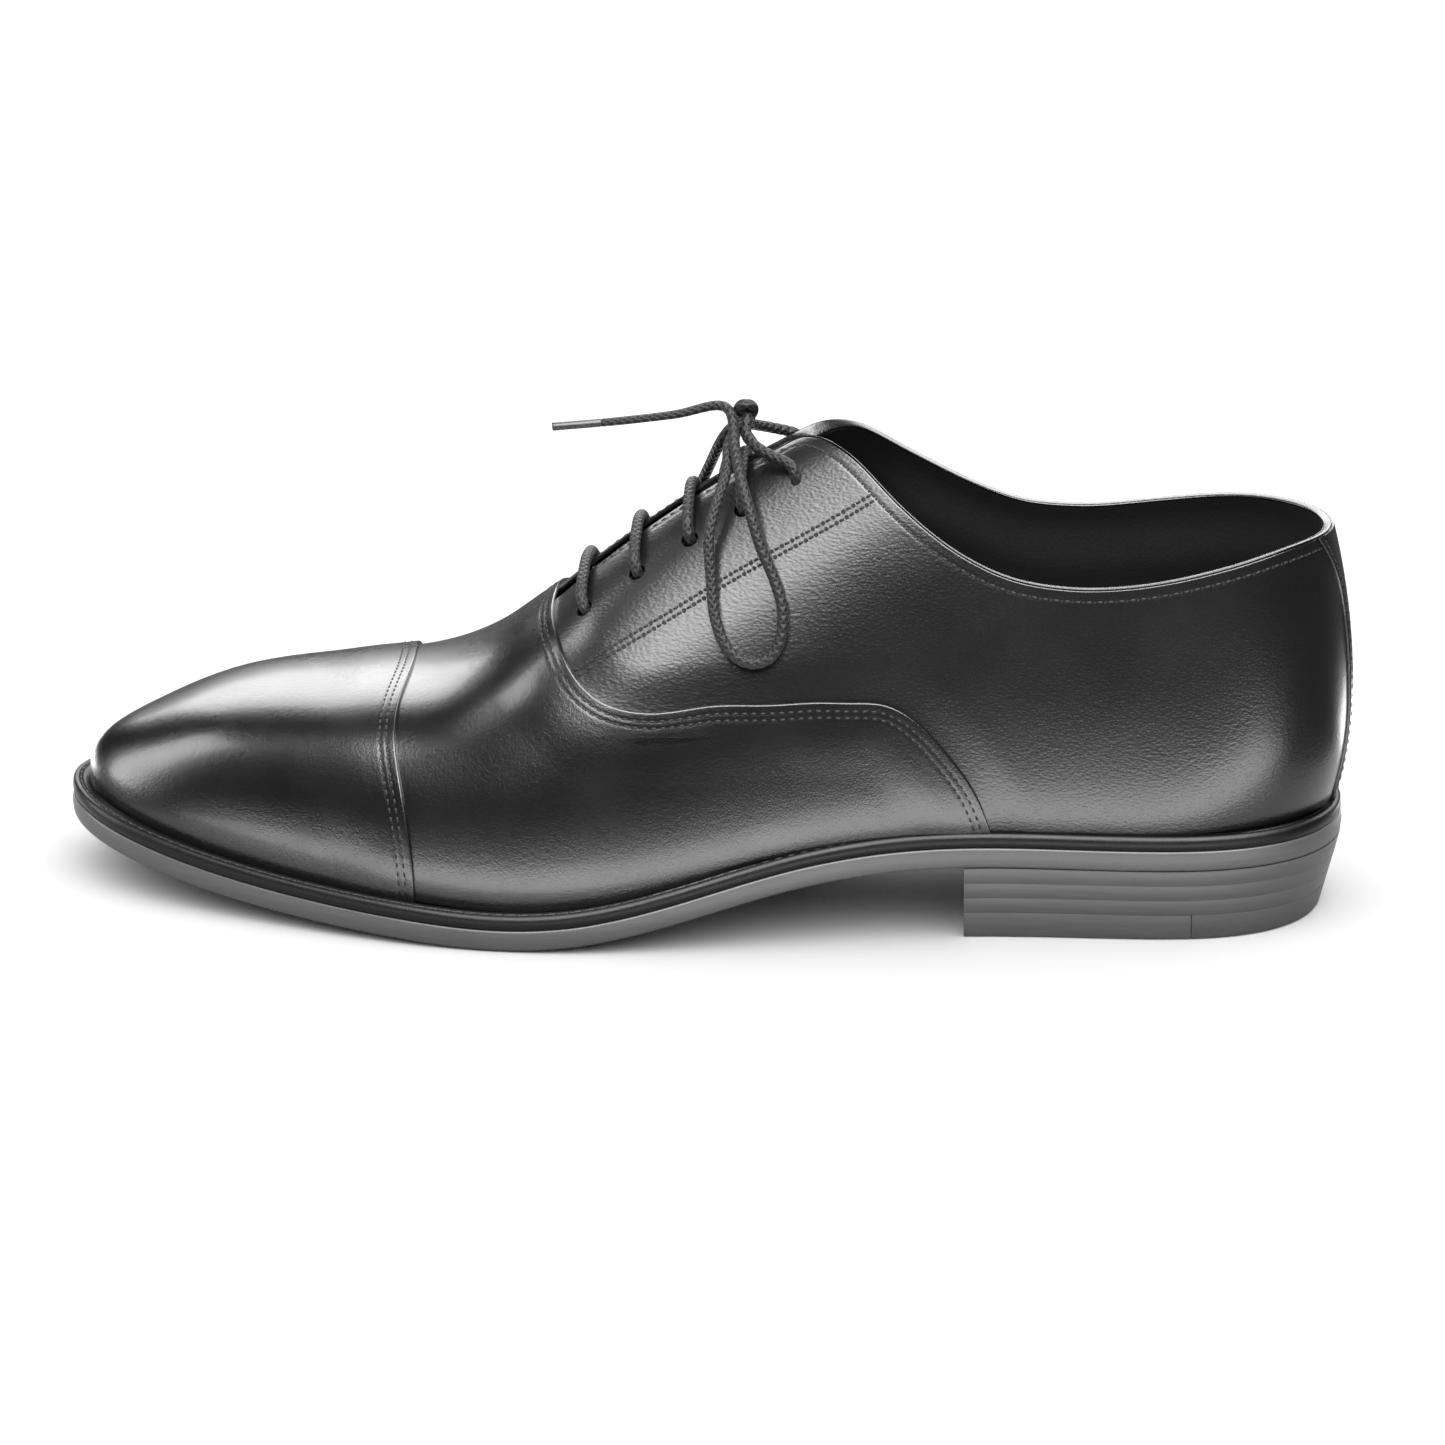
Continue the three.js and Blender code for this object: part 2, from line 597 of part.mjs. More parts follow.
// Level of the quarter's face: dipped under the vamp's edge, flush 15 mm behind it.
function dip(t, deg, side = 1) {
  if (deg < wingAngle(stationAt(t))) return UNDER;
  return mix(UNDER, 0, ease((wingDistance(t, angle(deg, side)) - 3.5 * SPREAD ** 2) / (14 * SPREAD)));
}
const BACK_SEAM = Math.PI - 0.014;
function quarter(side) {
  const name = side > 0 ? "quarter_lateral" : "quarter_medial";
  const low = line(QUARTER_LOW);
  const high = line(upperEdge(side), side);
  return sheet(name, 25, 7, (u, v) => {
    const [tl, dl] = low(u);
    const [th, dh] = high(u);
    const t = Math.min(mix(tl, th, v), BACK_SEAM);
    const deg = mix(dl, dh, v);
    const out = dip(t, deg, side);
    const phi = angle(deg, side);
    return [lastOffset(t, phi, out), lastOffset(t, phi, out - LEATHER_T)];
  }, GRAIN_LEATHER);
}
// Turn angle near the back where the half width equals y.
function backTurn(y) {
  let lo = upperTurn(270);
  let hi = Math.PI;
  for (let i = 0; i < 30; i++) {
    const m = (lo + hi) / 2;
    if (upperHalf(stationAt(m)) > y) lo = m;
    else hi = m;
  }
  return (lo + hi) / 2;
}
function backStrip() {
  const half = spline([[0, 4.6], [0.6, 5], [0.8, 6.6], [0.9, 9.2], [1, 13]]);
  return sheet("back_strip", 8, 9, (u, v) => {
    const across = (2 * u - 1) * half(v);
    const t = Math.abs(across) < 0.01 ? Math.PI : backTurn(Math.abs(across));
    const side = across > 0 ? -1 : 1;
    const d = stationAt(t);
    const deg = mix(angleOf(d, featherZ(d) + WELT_T), edgeAngle(d, side), v);
    const out = 0.3 + LEATHER_T * 0.8;
    return [lastOffset(t, angle(deg, side), out), lastOffset(t, angle(deg, side), 0.3)];
  }, BOX_LEATHER);
}
// Share of the thin, raised lining along the facing and the topline: 1 at the edge, 0 deep in the shoe.
function rimShare(t, deg, side) {
  const d = stationAt(t);
  const edge = edgeAngle(d, side);
  const away = lastPoint(t, deg * RAD).distanceTo(lastPoint(t, edge * RAD));
  return 1 - ease((away - mix(24, 4, ease((d - 184) / 14))) / 11);
}
const liningJoin = (deg) => 117.5 + 34 * (1 - ease(deg / 58));
function quarterLining(side) {
  const name = side > 0 ? "quarter_lining_lateral" : "quarter_lining_medial";
  return sheet(name, 17, 7, (u, v) => {
    let deg = 85 * v;
    let t = 0;
    for (let i = 0; i < 12; i++) {
      t = mix(upperTurn(liningJoin(deg) + 0.5), BACK_SEAM, u);
      deg = mix(1, edgeAngle(stationAt(t), side), v);
    }
    const share = rimShare(t, deg, side);
    const out = mix(LINING_OUT, RIM_OUT + dip(t, deg, side), share);
    const phi = angle(deg, side);
    return [lastOffset(t, phi, out), lastOffset(t, phi, out - LINING_T)];
  }, LINING);
}
function vampLining() {
  return sheet("vamp_lining", 12, 18, (u, v) => {
    const deg = Math.min(180 * v, 180 - 180 * v);
    const t = upperTurn(liningJoin(deg) - 0.5) * (1 - (1 - u) ** 1.2);
    return [lastOffset(t, Math.PI * v, LINING_OUT), lastOffset(t, Math.PI * v, LINING_IN)];
  }, LINING);
}
function facingStay(side) {
  const name = side > 0 ? "facing_stay_lateral" : "facing_stay_medial";
  return sheet(name, 9, 3, (u, v) => {
    const t = mix(upperTurn(119.5), upperTurn(177), u);
    const deg = mix(58, edgeAngle(stationAt(t), side) - 3, v);
    const out = dip(t, deg, side) + STAY_OUT;
    const phi = angle(deg, side);
    return [lastOffset(t, phi, out), lastOffset(t, phi, out - 0.6)];
  }, COTTON);
}
// A stiffening patch between the outer leather and the lining.
function patch(name, side, from, to, low, high, steps, look) {
  return sheet(name, steps, 5, (u, v) => {
    const t = mix(upperTurn(from), upperTurn(to), u);
    const phi = angle(mix(low, high, v), side);
    return [lastOffset(t, phi, STIFF_OUT), lastOffset(t, phi, STIFF_IN)];
  }, look);
}
function toePuff() {
  return sheet("toe_puff", 10, 14, (u, v) => {
    const t = upperTurn(68) * (1 - (1 - u) ** 1.2);
    const phi = Math.PI * v;
    return [lastOffset(t, phi, STIFF_OUT), lastOffset(t, phi, STIFF_IN)];
  }, STIFF);
}
function vampDoubler() {
  return sheet("vamp_doubler", 6, 12, (u, v) => {
    const t = mix(upperTurn(90), upperTurn(113), u);
    const phi = mix(32, 148, v) * RAD;
    return [lastOffset(t, phi, STIFF_OUT), lastOffset(t, phi, STIFF_IN)];
  }, STIFF);
}
function heelCounter() {
  const from = upperTurn(236);
  return sheet("heel_counter", 20, 4, (u, v) => {
    const s = mix(from, 2 * Math.PI - from, u);
    const side = s > Math.PI ? -1 : 1;
    const t = side > 0 ? s : 2 * Math.PI - s;
    const d = stationAt(t);
    const deg = mix(2, angleOf(d, toplineZ(d, side) - mix(30, 19, ease((d - 236) / 40))), v);
    return [lastOffset(t, angle(deg, side), STIFF_OUT), lastOffset(t, angle(deg, side), STIFF_IN)];
  }, STIFF);
}
// Rolled binding over the free edge from the front corner of one facing round the back to the other.
function toplineBinding() {
  const corners = [
    [-0.1, 0.8], [0.3, 1.1], [-0.5, 1.8],
    [RIM_IN + 0.5, 1.8], [RIM_IN - 0.3, 1.5], [RIM_IN + 0.1, 1.15],
  ];
  const from = upperTurn(171);
  const rows = 50;
  const points = [];
  for (let i = 0; i <= rows; i++) {
    const s = mix(from, 2 * Math.PI - from, i / rows);
    const side = s > Math.PI ? -1 : 1;
    const t = side > 0 ? s : 2 * Math.PI - s;
    const deg = edgeAngle(stationAt(t), side);
    for (const [off, lift] of corners) {
      const root = lastOffset(t, angle(deg, side), off);
      const up = lastOffset(t, angle(deg + 0.6, side), off).sub(root).normalize();
      points.push(root.addScaledVector(up, lift));
    }
  }
  const n = corners.length;
  const faces = [];
  for (let i = 0; i < rows; i++) {
    for (let k = 0; k < n; k++) {
      const a = i * n + k;
      const b = i * n + (k + 1) % n;
      faces.push([a, b, b + n], [a, b + n, a + n]);
    }
  }
  for (let k = 1; k < n - 1; k++) {
    faces.push([0, k + 1, k], [rows * n, rows * n + k, rows * n + k + 1]);
  }
  return meshOf("topline_binding", points, faces, BOX_LEATHER);
}
function tongueSheet(name, depth, thick, from, to, spread, look) {
  return sheet(name, 11, 6, (u, v) => {
    const d = mix(from, to, u);
    const half = mix(24, spread, ease(u * 2.2)) * (u > 0.85 ? Math.sqrt(1 - ((u - 0.85) / 0.19) ** 2) : 1);
    const phi = (90 + (2 * v - 1) * half) * RAD;
    const sink = mix(LINING_IN - 0.7, TONGUE_OUT, ease((d - 118) / 5)) + depth;
    return [lastOffset(upperTurn(d), phi, sink), lastOffset(upperTurn(d), phi, sink - thick)];
  }, look);
}

// ---- eyelets and lace ----
const rowStation = (row) => FIRST_EYELET + EYELET_PITCH * row;
function eyeletSpot(row, side, off) {
  const d = rowStation(row);
  return at(d, EYELET_ANGLE, off + dip(upperTurn(d), EYELET_ANGLE, side), side);
}
function eyeletAxis(row, side) {
  return eyeletSpot(row, side, 1).sub(eyeletSpot(row, side, 0)).normalize();
}
function eyeletHoles(side) {
  const tools = [];
  for (let row = 0; row < EYELET_COUNT; row++) {
    const c = eyeletSpot(row, side, -1.5);
    tools.push(bar("hole", c, eyeletAxis(row, side), EYELET_HOLE_D / 2, 12, STEEL, 16));
  }
  return tools;
}
function eyelets(side) {
  const rings = [];
  for (let row = 0; row < EYELET_COUNT; row++) {
    const name = "eyelet_" + (side > 0 ? "lateral_" : "medial_") + (row + 1);
    const c = eyeletSpot(row, side, RING_AT);
    const hole = EYELET_HOLE_D / 2;
    rings.push(washer(name, c, eyeletAxis(row, side), hole, hole + 1.1, 0.5, BRASS));
  }
  return rings;
}
const KNOT = new THREE.Vector3(161.5 * K, -3 * KW, 118 * KH);
const OVER = LACE_D / 2 + 0.85;
const LIFT = LACE_D / 2 - 1.3;
// Outside to inside through one eyelet: toward is where it comes from, on is where it goes inside.
function passIn(row, side, toward, on) {
  const d = rowStation(row);
  return [
    at(d, EYELET_ANGLE + toward * 7, OVER, side),
    at(d, EYELET_ANGLE + toward * 3.2, OVER - 0.35, side),
    eyeletSpot(row, side, -0.3),
    eyeletSpot(row, side, RIM_IN - 0.2),
    at(d + on[0] * 1.9, EYELET_ANGLE + on[1] * 2.6, RUN_AT + dip(upperTurn(d), EYELET_ANGLE, side), side),
    at(d + on[0] * 3.6, EYELET_ANGLE + on[1] * 5, RUN_AT + 0.5 * dip(upperTurn(d), EYELET_ANGLE, side), side),
  ];
}
function heldLace() {
  const rows = [0, 1, 2, 3, 4].map(rowStation);
  const over = (row) => [78, 90, 102].map((deg) => at(rows[row], deg, OVER + 0.15, 1));
  const path = [
    at(165.2, 84, 7, 1),
    at(168.4, 77, 4.6, 1),
    ...passIn(4, 1, 1, [-0.4, -1]).slice(1),
    at(164, 56.5, RUN_AT, 1),
    at(150, 55, RUN_AT, 1),
    at(136, 56, RUN_AT, 1),
    ...passIn(0, 1, 1, [0.5, -1]).reverse(),
    ...over(0),
    ...passIn(0, -1, 1, [1, 0]),
    ...passIn(1, -1, 1, [-1, 0]).reverse(),
    ...over(1).reverse(),
    ...passIn(1, 1, 1, [1, 0]),
    ...passIn(2, 1, 1, [-1, 0]).reverse(),
    ...over(2),
    ...passIn(2, -1, 1, [1, 0]),
    ...passIn(3, -1, 1, [-1, 0]).reverse(),
    ...over(3).reverse(),
    ...passIn(3, 1, 1, [0.6, 0.8]),
    at(167, 82, RUN_AT, 1),
    at(169, 97, RUN_AT, 1),
    ...passIn(4, -1, 1, [-0.4, 0.9]).reverse().slice(0, -1),
    at(168.4, 77, 4.6, -1),
    at(165.2, 84, 7, -1),
  ];
  return cord("lace_through_eyelets", path, LACE_D / 2, 200, COTTON, 5);
}
// Places on a bow part: [station, degrees, height above the leather].
const BOW_LOOP = [
  [162.2, 84, 8.2], [160.4, 75, 6.2], [157.6, 67, 5.6], [155.8, 61, 4.8], [155.8, 53, 2.8], [156.8, 44.5, 2.1],
  [159.5, 38.3, 2.1], [162.8, 35, 2.1], [166.5, 33.3, 2.1], [170, 33.4, 2.1], [172.2, 36, 2.1], [172.4, 40.5, 2.1],
  [170.4, 46.5, 2.1], [167.2, 54, 3.2], [165.2, 62, 5], [163.6, 71, 6.4], [163, 79, 7.6],
];
const BOW_END = [[159, 84, 8.2], [152, 74, 6.4], [147, 63, 5.4], [143.5, 52, 3], [142, 42, 2.2]];
function lace() {
  const along = (places, side) => places.map(([d, deg, off]) => at(d, deg, off + LIFT, side));
  const loop = (name, side) => cord(name, along(BOW_LOOP, side), LACE_D / 2, 46, COTTON, 5);
  const tip = [[157, -3.3, 118.3], [145, -4.2, 116.4], [133.5, -5.2, 115], [128, -5.8, 114.5]];
  const ends = [
    cord("lace_end_lateral", tip.map(([x, y, z]) => new THREE.Vector3(x * K, y * KW, z * KH)), LACE_D / 3, 18, COTTON),
    cord("lace_end_medial", along(BOW_END, -1), LACE_D / 2, 22, COTTON),
  ];
  const knot = [0, 1, 2, 3, 4, 5, 6, 7, 8].map((i) => {
    const a = 0.35 + i * 0.7;
    const y = KNOT.y + (i - 4) * 0.15 + 2.1 * Math.cos(a);
    return new THREE.Vector3(KNOT.x + 0.5 * Math.cos(a), y, KNOT.z + 2.1 * Math.sin(a));
  });
  return [
    heldLace(),
    cord("lace_knot", knot, LACE_D / 2, 20, COTTON, 8),
    loop("lace_loop_lateral", 1),
    loop("lace_loop_medial", -1),
    ...ends,
    aglet("aglet_lateral", [[127.4, -5.9, 114.4], [116.5, -7, 113.6]]),
    aglet("aglet_medial", null),
  ];
}
function aglet(name, ends) {
  const [a, b] = ends
    ? ends.map(([x, y, z]) => new THREE.Vector3(x * K, y * KW, z * KH))
    : [at(141.6, 41.2, 2.2 + LIFT, -1), at(140.6, 26, 2.4 + 2 * LIFT, -1)];
  const axis = b.clone().sub(a);
  const length = axis.length();
  return bar(name, a.add(b).divideScalar(2), axis.normalize(), LACE_D / 2 - 0.2, length - 0.4, PLASTIC, 10);
}

function group() {
  const g = new THREE.Group();
  g.name = "oxford_shoe";
  g.add(outsole(), welt(), shank());
  g.add(board("bottom_filler", null, 146, 8, OUTSOLE_T + 0.3, 2, CORK, 18));
  g.add(board("insole", null, null, 7.2, OUTSOLE_T + 2.9, 2.2, SOLE_LEATHER));
  g.add(...heel());
  g.add(board("sock_lining", null, null, 7.2, OUTSOLE_T + 5.5, 0.9, LINING));
  g.add(toeCap(), vamp(), toePuff(), vampDoubler(), vampLining(), heelCounter(), backStrip(), toplineBinding());
  for (const side of [1, -1]) {
    const holes = eyeletHoles(side);
    g.add(cut(quarter(side), holes), cut(facingStay(side), holes), cut(quarterLining(side), holes));
    g.add(patch(side > 0 ? "side_lining_lateral" : "side_lining_medial", side, 150, 224, 3, 21, 10, COTTON));
    g.add(...eyelets(side));
  }
  g.add(tongueSheet("tongue", 0, TONGUE_T, 118.5, 177, 36, BOX_LEATHER));
  g.add(tongueSheet("tongue_lining", -TONGUE_T - TONGUE_GAP, TONGUE_LINING_T, 119.5, 176, 34, LINING));
  g.add(...lace());
  g.position.set(-152.35 * K, 2.05 * KW, 0);
  return g;
}

export default group();
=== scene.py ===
import json
import math

import bmesh
import bpy
import numpy as np
from bpy.props import FloatProperty, FloatVectorProperty, PointerProperty
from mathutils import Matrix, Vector
from mathutils.kdtree import KDTree


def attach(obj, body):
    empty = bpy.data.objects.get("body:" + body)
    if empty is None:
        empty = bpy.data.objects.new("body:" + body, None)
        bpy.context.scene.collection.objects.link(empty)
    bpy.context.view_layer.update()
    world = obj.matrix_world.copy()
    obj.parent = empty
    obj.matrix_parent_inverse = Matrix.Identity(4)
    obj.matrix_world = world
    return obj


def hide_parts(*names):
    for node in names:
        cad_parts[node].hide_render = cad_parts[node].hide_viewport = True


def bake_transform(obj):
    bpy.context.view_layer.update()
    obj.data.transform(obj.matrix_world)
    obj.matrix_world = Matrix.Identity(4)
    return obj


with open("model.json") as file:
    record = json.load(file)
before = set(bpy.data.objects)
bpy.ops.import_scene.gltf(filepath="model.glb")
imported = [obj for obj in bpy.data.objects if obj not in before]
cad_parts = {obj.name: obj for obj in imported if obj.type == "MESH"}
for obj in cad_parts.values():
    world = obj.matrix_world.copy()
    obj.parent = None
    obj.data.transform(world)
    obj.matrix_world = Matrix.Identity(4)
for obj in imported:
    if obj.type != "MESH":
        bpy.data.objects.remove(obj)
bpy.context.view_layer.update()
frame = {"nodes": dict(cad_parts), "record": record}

bl_info = {
    "name": "Lace-up oxford shoe",
    "version": (1, 0, 0),
    "blender": (4, 2, 0),
    "location": "View3D > Sidebar > Oxford shoe",
    "description": "Models the visible layers of a lace-up oxford with a toe cap round its CAD frame",
    "category": "Object",
}

MM = 0.001
ROW_SHIFT = np.array([-152.35, 2.05, 0.0])  # the pattern's station 152.35 stands over the frame's origin
LATERAL, MEDIAL = 1, -1
SIDES = ((LATERAL, "lateral"), (MEDIAL, "medial"))

# ---- the last: a station d is mm from the toe tip; phi is 0 at the lateral feather, 90 on the ridge ----
SOLE_FROM, SOLE_TO = 0.0, 302.0
UPPER_FROM, UPPER_TO = 4.0, 303.5
FEATHER_RISE = 5.6
TUCK, TUCK_FADE = 1.6, 4.0
HEEL_RISE = 17.0
SOLE_T = 5.0
WELT_T = 3.4


class Spline:
    """Natural cubic spline through [station, value] pairs."""

    def __init__(self, pairs, warp=None):
        self.warp = warp or (lambda d: np.asarray(d, float))
        self.x = self.warp(np.array([p[0] for p in pairs], float))
        self.y = np.array([p[1] for p in pairs], float)
        n = len(self.x)
        h = np.diff(self.x)
        system = np.eye(n)
        right = np.zeros(n)
        for i in range(1, n - 1):
            system[i, i - 1 : i + 2] = h[i - 1], 2 * (h[i - 1] + h[i]), h[i]
            right[i] = 6 * ((self.y[i + 1] - self.y[i]) / h[i] - (self.y[i] - self.y[i - 1]) / h[i - 1])
        self.m = np.linalg.solve(system, right)

    def __call__(self, d):
        t = np.clip(self.warp(d), self.x[0], self.x[-1])
        i = np.clip(np.searchsorted(self.x, t, side="left") - 1, 0, len(self.x) - 2)
        h = self.x[i + 1] - self.x[i]
        a = (self.x[i + 1] - t) / h
        b = (t - self.x[i]) / h
        bend = (a**3 - a) * self.m[i] + (b**3 - b) * self.m[i + 1]
        return a * self.y[i] + b * self.y[i + 1] + bend * h * h / 6


def turn_of(low, high):
    return lambda d: np.arccos(np.clip(1 - 2 * (np.asarray(d, float) - low) / (high - low), -1, 1))


sole_turn = turn_of(SOLE_FROM, SOLE_TO)
upper_turn = turn_of(UPPER_FROM, UPPER_TO)


def station_at(t):
    return UPPER_FROM + (UPPER_TO - UPPER_FROM) * (1 - np.cos(t)) / 2


centre_line = Spline(
    [(0, 8), (30, 5.6), (60, 2.6), (100, -1.8), (150, -6), (190, -5.4), (230, -1.6), (265, 0), (302, 0)]
)
sole_half = Spline(
    [(0, 0), (9, 21.5), (30, 34.8), (60, 44.6), (98, 51), (130, 48.3), (165, 40), (200, 33.4)]
    + [(235, 33.5), (270, 33.4), (292, 23.6), (302, 0)],
    sole_turn,
)
sole_bottom = Spline(
    [(0, 12.6), (25, 7.4), (55, 3.2), (85, 0.9), (105, 0.05), (125, 1.2), (150, 6.7), (175, 13.2)]
    + [(205, 16.8), (240, 17), (302, 17.4)]
)
upper_half = Spline(
    [(4, 0), (12, 18.5), (32, 31.4), (60, 40.8), (98, 47.2), (130, 44.6), (165, 37.7), (200, 32.9)]
    + [(235, 32.6), (270, 32.2), (294, 21.2), (303.5, 0)],
    upper_turn,
)
ridge_height = Spline(
    [(4, 22.7), (9, 31.6), (20, 37.8), (40, 45.6), (75, 50.6), (100, 59), (115, 70.4), (135, 86.9)]
    + [(160, 104), (190, 120), (230, 138), (303.5, 146)],
    upper_turn,
)
ridge_side = Spline(
    [(4, 8), (30, 6), (60, 4), (100, 0), (120, -3), (150, -2.5), (180, -1), (230, 0), (303.5, 0)]
)
squareness = Spline([(4, 0.05), (60, 0.22), (100, 0.16), (140, 0), (200, 0.02), (303.5, 0.1)])
shoulder = Spline([(4, 0.1), (60, 0.3), (100, 0.2), (150, 0), (200, 0), (303.5, 0)])


def ease(x):
    t = np.clip(x, 0, 1)
    return t * t * (3 - 2 * t)


def mix(a, b, t):
    return a + (b - a) * t


def feather_z(d):
    return sole_bottom(d) + FEATHER_RISE


def lean(z):
    up = z - 50
    return np.where(up > 0, -0.003, -0.006) * up * up


def last_point(t, phi):
    """Point of the outer last surface at turn angle t and section angle phi."""
    d = station_at(t)
    s, c = np.sin(phi), np.cos(phi)
    base = feather_z(d)
    rise = ridge_height(d) - base
    z = base + rise * s * (1 + shoulder(d) * c * c)
    w = upper_half(d)
    tuck = TUCK * np.exp(-(z - base) / TUCK_FADE) * c * np.minimum(w / 12, 1)
    mid = centre_line(d)
    y = mid + (ridge_side(d) - mid) * s * s - (w * c * (1 + squareness(d) * s * s) - tuck)
    x = d + lean(z) * ease((d - 200) / 90)
    return np.stack(np.broadcast_arrays(x, y, z), -1)


def unit(v):
    return v / np.maximum(np.linalg.norm(v, axis=-1, keepdims=True), 1e-12)


def outward(t, phi):
    e = 0.012
    t, phi = np.broadcast_arrays(np.asarray(t, float), np.asarray(phi, float))
    tc = np.clip(t, 0.03, np.pi - 0.03)
    far = phi > np.pi / 2
    low = np.where(far, phi - e, np.maximum(phi - e, 0))
    high = np.where(far, np.minimum(phi + e, np.pi), phi + e)
    du = last_point(tc + e, phi) - last_point(tc - e, phi)
    dv = last_point(tc, high) - last_point(tc, low)
    return unit(np.cross(du, dv))


def last_normal(t, phi):
    """Outward direction; on the toe tip and the back seam it stays in the middle plane."""
    t, phi = np.broadcast_arrays(np.asarray(t, float), np.asarray(phi, float))
    n = outward(t, phi)
    both = n + outward(t, np.pi - phi)
    both[..., 1] = 0
    pole = (t < 1e-6) | (t > np.pi - 1e-6)
    return np.where(pole[..., None], unit(both), n)


def last_offset(t, phi, off):
    off = np.asarray(off, float)
    return last_point(t, phi) + last_normal(t, phi) * off[..., None]


def angle(deg, side):
    rad = np.radians(deg)
    return rad if side > 0 else np.pi - rad


def at(d, deg, off, side=LATERAL):
    return last_offset(upper_turn(d), angle(deg, side), off)


def angle_of(d, z):
    """Section angle in degrees of the height z at station d."""
    rise = ridge_height(d) - sole_bottom(d) - FEATHER_RISE
    return np.degrees(np.arcsin(np.clip((z - feather_z(d)) / rise, -1, 0.999)))


# ---- pattern lines: (station, section degrees) ----
CAP_SEAM = 80.0
THROAT = 117.0
FACING_ANGLE = 85.0
WING = [
    (222.5, 0), (217, 7), (212, 11), (206, 15.3), (201.5, 18), (196, 20.3), (188, 22), (181, 23.5),
    (169, 26), (156, 29.5), (143, 32.3), (136, 35.2), (131.5, 38.2), (128, 41.7), (124, 48), (119.8, 60.5),
    (117.8, 71), (THROAT, 90),
]  # fmt: skip
QUARTER_LOW = [
    (111.5, 75), (113.5, 60), (118, 44.5), (124, 35), (131, 29.5), (143, 25), (156, 21.5), (169, 18.5),
    (181, 16), (190, 13.5), (197, 9.5), (203, 4.5), (208, 0), (222, 0), (240, 0), (258, 0), (276, 0),
    (290, 0), (299, 0), (303.5, 0),
]  # fmt: skip
TOPLINE_LATERAL = Spline(
    [(172, 110.6), (178, 112.6), (183.5, 112), (187, 110.5), (191.5, 107.4), (196, 103.5), (201.5, 98.9)]
    + [(209.5, 93), (218, 88.2), (226, 85.1), (234.5, 83.5), (243, 83), (252.5, 83.5), (265, 85.3)]
    + [(274, 87.1), (283, 89), (292, 90.9), (299, 91.8), (303.5, 92)]
)
TOPLINE_MEDIAL = Spline(
    [(172, 110.6), (178, 112.6), (183.5, 112), (187, 110.6), (191.5, 107.6), (196, 104.2), (201.5, 100.4)]
    + [(209.5, 95.4), (218, 91), (226, 88), (234.5, 86.6), (243, 86.2), (252.5, 86.8), (265, 88.3)]
    + [(274, 89.6), (283, 90.8), (292, 91.6), (299, 92), (303.5, 92)]
)


def topline_z(d, side):
    return (TOPLINE_LATERAL if side > 0 else TOPLINE_MEDIAL)(d)


def edge_angle(d, side):
    """Section angle of the free upper edge: along the facing, then along the topline."""
    d = np.asarray(d, float)
    return mix(FACING_ANGLE, angle_of(d, topline_z(d, side)), ease((d - 170) / 8))


def cap_turn(phi):
    return upper_turn(CAP_SEAM + 7.5 * np.abs(np.cos(phi)) ** 4 + 2.5 * np.sin(phi) ** 8)


def lengths(points):
    steps = np.linalg.norm(np.diff(points, axis=0), axis=1)
    return np.concatenate([[0], np.cumsum(steps)])


def smooth_pairs(pairs, count, side=LATERAL, rounded=True):
    """Evenly spaced (turn, phi) along a line of the last given by (station, degrees) pairs."""
    d = np.array([p[0] for p in pairs], float)
    deg = np.array([p[1] for p in pairs], float)
    run = lengths(last_point(upper_turn(d), np.radians(deg)))
    share = np.linspace(0, run[-1], 1200)
    if rounded:
        d = Spline(list(zip(run, d)))(share)
        deg = Spline(list(zip(run, deg)))(share)
    else:
        d, deg = np.interp(share, run, d), np.interp(share, run, deg)
    t, phi = upper_turn(d), angle(deg, side)
    return even(t, phi, count)


def even(t, phi, count):
    run = lengths(last_point(t, phi))
    want = np.linspace(0, run[-1], count)
    return np.interp(want, run, t), np.interp(want, run, phi)


def shifted(t, phi, distance):
    """A line of the last moved sideways by some mm, to the left of its direction seen from outside."""
    t, phi = t.copy(), phi.copy()
    steps = max(1, int(math.ceil(abs(distance) / 0.8)))
    e = 1e-3
    for _ in range(steps):
        p = last_point(t, phi)
        along = unit(np.gradient(p, axis=0))
        across = unit(np.cross(outward(t, phi), along)) * distance / steps
        pt = (last_point(t + e, phi) - last_point(t - e, phi)) / (2 * e)
        pp = (last_point(t, phi + e) - last_point(t, phi - e)) / (2 * e)
        a, b, c = (pt * pt).sum(-1), (pt * pp).sum(-1), (pp * pp).sum(-1)
        r, s = (pt * across).sum(-1), (pp * across).sum(-1)
        det = np.maximum(a * c - b * b, 1e-9)
        t += (c * r - b * s) / det
        phi += (a * s - b * r) / det
        t = np.clip(t, 0, np.pi)
    return t, phi


# ---- sizes ----
def size(name):
    """A size of the shoe in mm, from the panel."""
    return getattr(bpy.context.scene.shoe_sizes, name) / MM


def seam_rows():
    """Distances of the two rows of a double seam from the cut edge."""
    return (size("first_row"), size("first_row") + size("row_gap"))


# ---- meshes ----
def deselect():
    if bpy.context.mode != "OBJECT":
        bpy.ops.object.mode_set(mode="OBJECT")
    bpy.ops.object.select_all(action="DESELECT")


